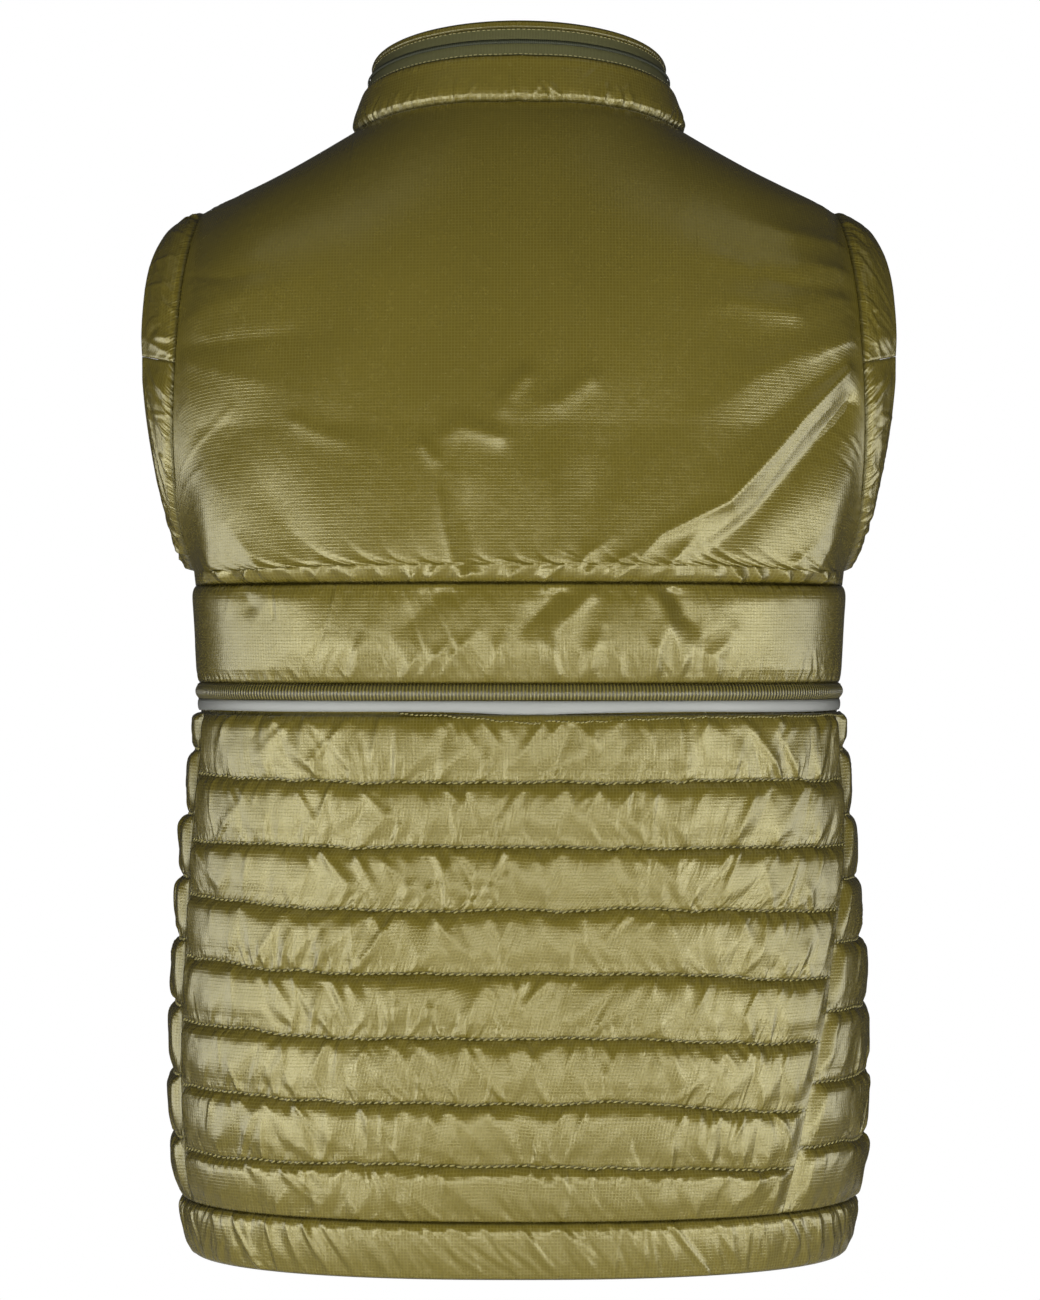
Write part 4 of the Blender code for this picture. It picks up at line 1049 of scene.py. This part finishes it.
def upper_half(back):
    """Grid of the yoke's or front's left half, bottom row first, from the middle out to the armhole."""
    bottom = YOKE_SEAM if back else FRONT_SEAM
    steps = YOKE_STEPS if back else FRONT_STEPS
    below = np.linspace(bottom, UNDERARM, steps.below)[:-1]
    turns = armhole_turns(steps.rows)
    inner = 0.0 if back else ZIP_HALF + SEAM_GAP / 2
    x, _, z = neck_ring(neck_turns(back, steps.neck), back)
    shoulder = np.linspace(0.0, 1.0, steps.shoulder + 1)[1:]
    shoulder_x = x[-1] + (read(ARMHOLE, "seam", SHOULDER_TIP) - x[-1]) * shoulder
    top_x = np.concatenate([x, shoulder_x])
    top_z = np.concatenate([z, read(RIDGE, "height", shoulder_x)])
    share = (top_x - inner) / (top_x[-1] - inner)
    hole_x, hole_y, hole_z = armhole_point(turns, back)
    edge_x = np.concatenate([read(BODY, "half_width", below), hole_x])
    edge_y = np.concatenate([np.zeros(len(below)), hole_y])
    edge_z = np.concatenate([below, hole_z])
    rise = (edge_z - bottom) / (SHOULDER_TIP - bottom)
    even = np.linspace(0.0, 1.0, len(share))
    near_top = smoothstep(0.45, 1.0, rise)[:, None]
    share = even * (1 - near_top) + share * near_top
    x = inner + (edge_x[:, None] - inner) * share
    z = bottom + (top_z[None, :] - bottom) * rise[:, None]
    side = 1.0 if back else -1.0
    lean = np.concatenate([np.zeros(len(below)), armhole_y(np.radians(turns), 0.0)])
    reach = side * (upper_depth(x, z, back) - lean[:, None])
    hole_reach = side * (edge_y - lean)
    width = x / edge_x[:, None]
    cut_share = np.clip(hole_reach / np.maximum(reach[:, -1], 1e-6), 0, 1)
    cut_width = (1 - cut_share**SQUARENESS) ** (1 / SQUARENESS) * (1 - smoothstep(0.50, 0.98, rise))
    reach = reach * np.clip(1 - (width * cut_width[:, None]) ** SQUARENESS, 0, 1) ** (1 / SQUARENESS)
    reach = reach + (hole_reach - reach[:, -1])[:, None] * width**5
    points = np.stack([x, lean[:, None] + side * reach, z], axis=-1)
    facing = grid_facing(points, (0.0, 0.0, -0.2))
    turn = np.degrees(np.arccos(np.clip(width[0], 0, 1) ** (SQUARENESS / 2))) * side
    facing[0] = body_facing(turn, bottom + 0 * turn)
    facing[: len(below), -1] = body_facing(0 * below, below)
    neck = steps.neck + 1
    facing[-1, :neck] = neck_rim(points[-1, :neck, 0], points[-1, :neck, 1])
    facing[-1, neck:] = unit(np.array([0.477, 0.0, 0.879]))
    facing[len(below) :, -1] = armhole_rim(turns, back)
    if not back:
        facing[:, 0, 0] = 0.0
        facing = unit(facing)
    return points, facing


MIRROR = np.array([-1.0, 1.0, 1.0])


def mirrored(points, facing):
    return points[:, ::-1] * MIRROR, facing[:, ::-1] * MIRROR


BACK_FOLDS = (
    Fold(0.0024, 17, ((862, 330), (828, 345), (793, 357), (757, 375), (730, 398), (708, 418))),
    Fold(-0.0018, 14, ((858, 356), (811, 386), (757, 430), (720, 460))),
    Fold(0.0026, 30, ((846, 370), (802, 417), (748, 477), (694, 515), (640, 548))),
    Fold(0.0026, 7, ((846, 370), (802, 417), (775, 448), (748, 477), (726, 500), (694, 515), (658, 533),
                     (618, 578)), 1.3),
    Fold(0.0008, 5, ((830, 405), (800, 436), (776, 470), (752, 502), (722, 524), (690, 545),
                     (668, 578)), 1.3),
    Fold(-0.0044, 15, ((850, 402), (811, 450), (778, 484), (742, 520), (708, 548), (684, 574)), 1.6),
    Fold(0.0030, 22, ((790, 584), (805, 540), (828, 500), (856, 440))),
    Fold(0.0015, 6, ((764, 586), (784, 558), (811, 533)), 1.3),
    Fold(0.0015, 6, ((793, 586), (806, 558), (830, 526)), 1.3),
    Fold(0.0018, 7, ((652, 586), (668, 560), (696, 530)), 1.3),
    Fold(0.0015, 7, ((563, 586), (588, 552), (612, 536)), 1.3),
    Fold(0.0012, 5, ((600, 586), (612, 562), (640, 545)), 1.3),
    Fold(0.0013, 9, ((852, 228), (811, 208), (772, 197))),
    Fold(0.0015, 8, ((848, 250), (793, 237), (750, 221))),
    Fold(0.0015, 6, ((854, 277), (828, 270), (800, 264)), 1.4),
    Fold(-0.0015, 9, ((856, 290), (800, 286), (745, 272))),
    Fold(0.0015, 14, ((793, 314), (768, 309), (739, 301), (700, 312))),
    Fold(0.0009, 12, ((752, 270), (728, 260), (696, 251))),
    Fold(0.0011, 5, ((858, 303), (828, 300))),
    Fold(0.0009, 13, ((174, 334), (207, 311), (252, 292), (300, 280))),
    Fold(-0.0008, 9, ((172, 347), (215, 345), (262, 338), (330, 330))),
    Fold(0.0007, 12, ((178, 358), (243, 377), (300, 392))),
    Fold(0.0010, 8, ((186, 248), (214, 228))),
    Fold(-0.0010, 6, ((184, 277), (230, 279), (262, 272)), 1.3),
    Fold(0.0017, 46, ((300, 586), (258, 530), (214, 470), (180, 420))),
    Fold(-0.0022, 26, ((330, 582), (304, 540), (270, 490), (236, 440))),
    Fold(0.0015, 8, ((288, 584), (262, 550), (236, 520)), 1.3),
    Fold(0.0012, 7, ((240, 582), (212, 540)), 1.3),
    Fold(0.0010, 11, ((297, 422), (328, 435), (373, 448))),
    Fold(0.0010, 8, ((426, 446), (446, 468))),
    Fold(0.0018, 8, ((462, 584), (448, 528), (436, 462)), 1.4),
    Fold(-0.0018, 14, ((480, 570), (470, 520), (466, 470))),
    Fold(0.0020, 12, ((526, 376), (506, 400), (500, 436))),
    Fold(0.0018, 14, ((590, 380), (560, 402), (530, 410))),
    Fold(0.0018, 12, ((500, 436), (462, 426), (430, 446))),
    Fold(0.0022, 14, ((552, 586), (556, 540), (552, 480), (560, 430))),
    Fold(-0.0022, 16, ((588, 560), (590, 500), (600, 450))),
    Fold(0.0010, 20, ((560, 250), (570, 290), (560, 340))),
)
FRONT_FOLDS = (
    Fold(0.0026, 20, ((862, 380), (800, 400), (730, 450), (690, 510))),
    Fold(-0.0030, 14, ((862, 404), (806, 436), (750, 490), (716, 552))),
    Fold(0.0022, 14, ((172, 400), (230, 420), (290, 470), (330, 540))),
    Fold(-0.0024, 16, ((174, 430), (226, 452), (270, 510), (292, 580))),
    Fold(0.0014, 22, ((640, 300), (610, 380), (600, 470))),
    Fold(0.0014, 22, ((400, 310), (430, 390), (440, 480))),
    Fold(0.0020, 30, ((820, 560), (790, 620), (780, 690))),
    Fold(0.0020, 30, ((220, 560), (246, 620), (262, 690))),
)
YOKE_GATHERS = (
    Gather(0.0095, 0.0026, 0.0019, 0.020, 0.075, 0.50, 0.0, 0.5),
    Gather(0.0042, 0.0013, 0.0011, 0.010, 0.030, 0.50, 0.0, 0.3),
    Gather(0.0200, 0.0006, 0.0016, 0.030, 0.080, 0.40, 1.0, 0.5),
)
RIM_ZIGZAG = Crest(0.0080, 0.90, 0.45, 0.0)
RIM_HEIGHT = 0.0034
RIM_LEAST = 0.0006
YOKE_SWELL = 0.0112
YOKE_SWELL_REACH = 0.092
SOFT_RIPPLE = 0.0010
SIDE_GATHERS = (
    Gather(0.0090, 0.0008, 0.0017, 0.04, 0.14, 0.35, 0.5, 0.7),
    Gather(0.0050, 0.0005, 0.0014, 0.02, 0.06, 0.40, 0.5, 0.5),
)


def turned(grid):
    return np.swapaxes(grid, 0, 1)


def upper_panel(name, cad, grid, table, seed):
    """Yoke or upper front. Its padding bags at the bottom, where a zigzag rim stands up along the seam."""
    points = grid[0]
    shape = points.shape[:2]
    off_seam = points[..., 2] - points[:1, :, 2]
    row = np.linspace(0.0, 1.0, shape[0])[:, None]
    side = fade_in(shape[1], 0.06)[None, :]
    run = lengths(points)[0]
    slid = run + 0.7 * off_seam * np.sin(run / 0.045 + seed)
    rim = RIM_HEIGHT * (1 + crest_line(slid, RIM_ZIGZAG, np.random.default_rng(seed + 3)))
    fade = (1 - np.exp(-off_seam / np.maximum(rim, RIM_LEAST))) * smoothstep(0.0, 0.10, 1 - row) * side
    soft = SOFT_RIPPLE * ripples(shape, seed + 7, ((64, 1.0), (34, 0.6)), 1.0, 0.5)
    near = smoothstep(0.0, 0.010, off_seam) * smoothstep(0.0, 0.06, 1 - row)
    near = near * fade_in(shape[1], 0.03)[None, :]
    lift = (folds(points, table) + soft) * near
    beside = gathers(turned(points), [0, shape[1] - 1], SIDE_GATHERS, seed + 1).T
    flipped = gathers(points[::-1], [0, shape[0] - 1], YOKE_GATHERS, seed)[::-1]
    fill = YOKE_SWELL * (1 - np.clip(off_seam / YOKE_SWELL_REACH, 0, 1)) ** 1.15 * fade
    padded_piece(name, cad, grid, fill, (), seed, lift, 0.0, 4, beside + flipped)


half = upper_half(True)
other = mirrored(*half)
whole = tuple(np.concatenate([a[:, :-1], b], axis=1) for a, b in zip(other, half))
upper_panel("yoke", "back_yoke", whole, BACK_FOLDS, 21)
half = upper_half(False)
upper_panel("front_upper_left_panel", "front_upper_left", half, FRONT_FOLDS, 22)
upper_panel("front_upper_right_panel", "front_upper_right", mirrored(*half), FRONT_FOLDS, 23)


# Armhole bands: a padded band round each armhole, sewn in with gathers that lean across it.
# Its upper and lower piece meet at a cross seam front and back, and the outer edge is turned in.
BandWidth = namedtuple("BandWidth", "height edge")
BAND_EDGE = (
    BandWidth(-0.245, 0.2040),
    BandWidth(-0.217, 0.2135),
    BandWidth(-0.185, 0.2200),
    BandWidth(-0.150, 0.2240),
    BandWidth(-0.120, 0.2245),
    BandWidth(-0.088, 0.2210),
    BandWidth(-0.066, 0.2130),
)
# Top and bottom of the band's outer edge, its reach to the back and front, and the turn of the cross seam.
BAND_TOP = -0.066
BAND_BOTTOM = -0.245
BAND_BACK = 0.053
BAND_FRONT = 0.050
CROSS_SEAM = 97.0
ARM_CRESTS = (Crest(0.0075, 0.34, 0.30, 0.90, 0.50), Crest(0.0042, 0.12, 0.30, 0.90))
ARM_GATHERS = (
    Gather(0.0095, 0.0022, 0.0023, 0.45, 1.30, 0.80, 0.80, 0.4),
    Gather(0.0055, 0.0012, 0.0013, 0.25, 0.80, 0.90, 0.80, 0.3),
)
below_cross = np.linspace(0.0, CROSS_SEAM, 130)
above_cross = np.linspace(CROSS_SEAM, 180.0, 122)[1:]
ring_turns = np.concatenate([below_cross, above_cross])


def band_loop(share):
    """Closed loop of armhole points at a share of the band's width, underarm - back - shoulder - front."""
    loop = []
    for back, turns in ((True, ring_turns), (False, ring_turns[-2:0:-1])):
        x, y, z = armhole_point(turns, back)
        turn = np.radians(turns)
        edge_z = (BAND_TOP + BAND_BOTTOM) / 2 - (BAND_TOP - BAND_BOTTOM) / 2 * np.cos(turn)
        edge_y = armhole_y(turn, BAND_BACK if back else -BAND_FRONT)
        seam = np.stack([x, y, z], axis=-1)
        edge = np.stack([read(BAND_EDGE, "edge", edge_z), edge_y, edge_z], axis=-1)
        loop.append(seam + (edge - seam) * share)
    return np.concatenate(loop)


shares = np.linspace(0.0, 1.0, 27)
loop = np.stack([band_loop(share) for share in shares])
closed = np.concatenate([loop[:, -1:], loop, loop[:, :2]], axis=1)
ARM_SWELL = 0.0050
centre = np.array([0.120, 0.0, (SHOULDER_TIP + UNDERARM) / 2])  # inside the ring that the band forms
facing = grid_facing(closed, centre)[:, 1:-1]
points = closed[:, 1:-1]
facing = facing * np.sign(np.sum(facing * (points - centre), axis=-1, keepdims=True))
rims = np.concatenate([armhole_rim(ring_turns, True), armhole_rim(ring_turns[-2:0:-1], False)])
facing[0] = np.concatenate([rims, rims[:1]])
blend = smoothstep(0.0, 0.14, shares)[:, None, None]
facing = unit(facing[:1] * (1 - blend) + facing * blend)
wrapped, wrapped_facing = (np.concatenate([a[:, :-1], a[:, :-1]], axis=1) for a in (points, facing))
cross, last = len(below_cross) - 1, len(rims)
full = np.interp(shares, [0.0, 0.06, 0.14, 0.35, 0.65, 0.88, 0.96, 1.0],
                 [0.0, 0.38, 0.70, 1.0, 0.96, 0.62, 0.34, 0.0])
for height, start, stop in (("lower", last - cross, last + cross), ("upper", cross, last - cross)):
    part = wrapped[:, start : stop + 1], wrapped_facing[:, start : stop + 1]
    count = stop - start + 1
    off_tip = np.abs(np.linspace(-1.0, 1.0, count)) if height == "upper" else np.ones(count)
    low_tip = 1 - 0.65 * np.exp(-((off_tip / 0.30) ** 2))
    fill = ARM_SWELL * full[:, None] * (low_tip * (0.55 + 0.45 * fade_in(count, 0.05)))[None, :]
    calm_edge = 1 - 0.85 * smoothstep(0.45, 0.95, shares)[:, None]
    for side, grid, seed in (("left", part, 61), ("right", mirrored(*part), 71)):
        folded = 0.55 + 0.45 * tented(grid[0], [0, len(shares) - 1], ARM_CRESTS, seed + 5) ** 0.6
        folded = folded + (0.9 - folded) * (1 - calm_edge)
        padded_piece(f"{height}_armhole_padding_{side}", f"armhole_band_{height}_{side}", grid, fill * folded,
                     ARM_GATHERS, seed + len(height), share=calm_edge)


# Collar: a padded stand, a zip all round it for the hood that packs away inside, and a bound strip on top.
# The tapes are woven polyester, topstitched above and below in light thread, with a nylon coil between them.
COLLAR_HALF = 0.0865
COLLAR_MIDDLE = -0.008
COLLAR_BACK = 0.068
COLLAR_FRONT = 0.076
COLLAR_SIDE_HEIGHT = 0.0370
COLLAR_BACK_RISE = 0.0175
COLLAR_FRONT_DROP = 0.054
COLLAR_BAND_SHARE = 0.57  # shares of the way up the collar where the padded stand and the zip end
COLLAR_ZIP_SHARE = 0.90
COIL_SHARES = 0.705, 0.765
COIL_MIDDLE = 0.735
COLLAR_SWELL = 0.0026
TOP_STRIP_SWELL = 0.0013
TOPSTITCH_IN = 0.012
ZIP_CLOTH = 0.0020


def collar_grid(shares, columns=64):
    """Grid of the collar, from its left front edge round the back to its right front edge."""
    rows = []
    for is_back in (False, True):
        turns = neck_turns(is_back, columns)
        x, y, z = neck_ring(turns, is_back)
        angle = np.radians(turns)
        depth = COLLAR_BACK if is_back else -COLLAR_FRONT
        top_x = COLLAR_HALF * np.sin(angle)
        if not is_back:
            top_x = np.maximum(top_x, ZIP_HALF + SEAM_GAP / 2)
        change = COLLAR_BACK_RISE * np.cos(angle) if is_back else -COLLAR_FRONT_DROP * np.cos(angle) ** 1.2
        top = [top_x, COLLAR_MIDDLE + depth * np.cos(angle), COLLAR_SIDE_HEIGHT + change]
        rows.append((np.stack([x, y, z], axis=-1), np.stack(top, axis=-1)))
    left = [np.concatenate([front, back[-2::-1]]) for front, back in zip(*rows)]
    seam, top = (np.concatenate([side, side[-2::-1] * MIRROR]) for side in left)
    shares = np.array(shares)[:, None, None]
    points = seam[None] + (top - seam)[None] * shares
    facing = grid_facing(points, (0.0, COLLAR_MIDDLE, 0.0))
    points = points + facing * 0.0015 * np.sin(np.pi * shares)
    facing[:, [0, -1], 0] = 0.0
    facing = unit(facing)
    if shares[0, 0, 0] == 0.0:
        rim = neck_rim(points[0, :, 0], points[0, :, 1])
        blend = smoothstep(0.0, 0.08, shares)
        facing = unit(rim[None] * (1 - blend) + facing * blend)
    return points, facing


share = np.linspace(0.0, 1.0, 25)
grid = collar_grid(COLLAR_BAND_SHARE * share, 150)
full = np.interp(share, [0.0, 0.07, 0.15, 0.28, 0.60, 0.90, 1.0], [0.0, 0.55, 0.95, 1.0, 0.62, 0.28, 0.0])
fill = COLLAR_SWELL * full[:, None] * fade_in(grid[0].shape[1], 0.03)[None, :]
COLLAR_GATHERS = (
    Gather(0.0056, 0.0019, 0.0013, 0.20, 0.60, 0.60, 1.0, 0.4),
    Gather(0.0030, 0.0011, 0.0008, 0.10, 0.30, 0.50, 1.0, 0.2),
    Gather(0.0180, 0.0005, 0.0030, 0.50, 1.10, 0.30, 0.8, 0.5),
)
padded_piece("collar_padded_stand", "collar_band", grid, fill, COLLAR_GATHERS, 81)

# Woven olive zip tape: fine dull ribs across its length, with painted shade between them. The coil is darker,
# with bolder ribs for its turns and bolder painted shade between them.
TAPE = ribbed("woven olive zip tape", "69683f", "4d4c2c", 0.55, 0.0009, 0.00012)
COIL_FINISH = ribbed("dark olive nylon coil", "3d4126", "24261a", 0.60, 0.0012, 0.0003)
share = np.linspace(COLLAR_BAND_SHARE, COLLAR_ZIP_SHARE, 12)
points, facing = collar_grid(share)
groove = 0.0006 * np.exp(-(((share - COIL_MIDDLE) / 0.018) ** 2))[:, None, None]
outer = points + facing * (ZIP_CLOTH / 2 - groove)
tapes = wall("collar_woven_tapes", outer, points - facing * ZIP_CLOTH / 2, TAPE)
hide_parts("collar_zip_tapes")
share = np.linspace(*COIL_SHARES, 5)
points, facing = collar_grid(share, 120)
lift = ZIP_CLOTH / 2 + 0.0001
bead = 0.0010 * np.array([0.0, 0.8, 1.0, 0.8, 0.0])[:, None, None]
outer = points + facing * (lift + bead)
coil = wall("collar_coil", outer, points + facing * lift, COIL_FINISH, step=2)
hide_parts("collar_zip_coil")

share = np.linspace(COLLAR_ZIP_SHARE, 1.0, 9)
points, facing = collar_grid(share)
full = np.array([0.0, 0.7, 1.0, 1.0, 1.0, 0.95, 0.8, 0.5, 0.0])[:, None]
fill = TOP_STRIP_SWELL * full * fade_in(points.shape[1], 0.02)[None, :]
outer = points + facing * (CLOTH / 2 + fill)[..., None]
top_strip = wall("collar_bound_top", outer, points - facing * CLOTH / 2, NYLON)
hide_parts("collar_top_strip")
# Light olive topstitching thread: two fine pale lines, the lightest thread on the vest.
LIGHT_THREAD = plain("light olive topstitching thread", "b3ab74", 0.5)
lines = []
for at in (COLLAR_BAND_SHARE + TOPSTITCH_IN, COLLAR_ZIP_SHARE - TOPSTITCH_IN):
    points, facing = collar_grid([at - 0.01, at, at + 0.01])
    lines.append((points[1] + facing[1] * ZIP_CLOTH / 2, facing[1]))
TOPSTITCH = Stitch((0.0021, 0.0006, 0.0004), 0.0030, 0.0)
stitched("collar_topstitching", lines, TOPSTITCH, LIGHT_THREAD, lift=0.0002)


# Hem band: one length of doubled nylon with elastic inside, gathered into uneven upright folds.
# It is sewn to the quilting above and folded at the bottom.
HEM_GATHERS = (
    Gather(0.0125, 0.0020, 0.0028, 0.90, 1.90, 0.26, 0.60, 0.4),
    Gather(0.0055, 0.0009, 0.0014, 0.25, 0.80, 0.35, 0.70, 0.3),
)
HEM_CRESTS = (Crest(0.0080, 0.34, 0.40, 0.40, 0.55), Crest(0.0045, 0.12, 0.30, 0.50))
HEM_SWELL = 0.0042
rows, columns = 26, 860
share = np.linspace(0.0, 1.0, rows + 1)
grid = body_grid(HEM_SEAM + (HEM_EDGE - HEM_SEAM) * share, front_left, front_right, columns)
full = 0.35 * (1 - np.abs(2 * share - 1) ** 2.6)[:, None]
full = full + 0.65 * tented(grid[0], [0, rows], HEM_CRESTS, 95) ** 0.7
fill = HEM_SWELL * full * fade_in(columns + 1, 0.01)[None, :]
padded_piece("gathered_hem_band", "hem_band", grid, fill, HEM_GATHERS, 91)


# Front zip: woven tape in one length from hem to collar, an interlocked nylon coil down its middle,
# and a stop box, sliders and pull tabs cast in zinc and plated dark.
CHAIN_HALF = 0.0028
CHAIN = 0.0016


def front_line(reach):
    """Points up the front at this distance from the middle plane, with the outward directions."""
    heights = np.concatenate([[HEM_EDGE, -0.6660, HEM_SEAM], np.linspace(-0.64, -0.36, 40)])
    lower = body_point(-90 + zip_angle(heights, reach), heights)
    collar = collar_grid(np.linspace(0.0, 1.0, 16))[0]
    line = np.concatenate([lower, half[0][:, 0], collar[1:, 0]])
    line[:, 0] = reach
    along = np.gradient(line, axis=0)
    out = unit(np.cross(along, np.array([1.0, 0.0, 0.0])))
    out = out * -np.sign(out[:, 1:2])
    return line, out


line, out = front_line(ZIP_HALF)
shares = np.linspace(-1.0, 1.0, 9)[None, :, None]
grid = line[:, None] * np.array([0.0, 1.0, 1.0]) + shares * np.array([ZIP_HALF, 0.0, 0.0])
away = out[:, None] + 0 * grid
tape = wall("front_woven_tape", grid + away * ZIP_CLOTH / 2, grid - away * ZIP_CLOTH / 2, TAPE)
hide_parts("front_zip_tape")

middle = line * np.array([0.0, 1.0, 1.0])
surface = (middle + out * (ZIP_CLOTH / 2))[3:-2]
lines = [(surface + np.array([side * CHAIN_HALF * 0.45, 0, 0]), out[3:-2]) for side in (-1, 1)]
# Dark olive moulded nylon: small glints along the teeth.
MOULDED = plain("dark olive moulded nylon", "24260f", 0.35)
TOOTH = Stitch((0.0011, 0.0030, 0.0014), 0.0015, 0.0)
chain = stitched("front_coil_teeth", lines, TOOTH, MOULDED, CHAIN / 2)
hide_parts("front_zip_chain")
# Dark plated zinc: satin metal that mirrors the softboxes as soft grey patches.
PLATED = plain("dark plated zinc", "4c4b45", 0.32, 1.0)
for name in ("front_zip_box", "front_zip_slider", "front_zip_pull", "collar_zip_slider", "collar_zip_pull"):
    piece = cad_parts[name]
    piece.data.materials.clear()
    piece.data.materials.append(PLATED)
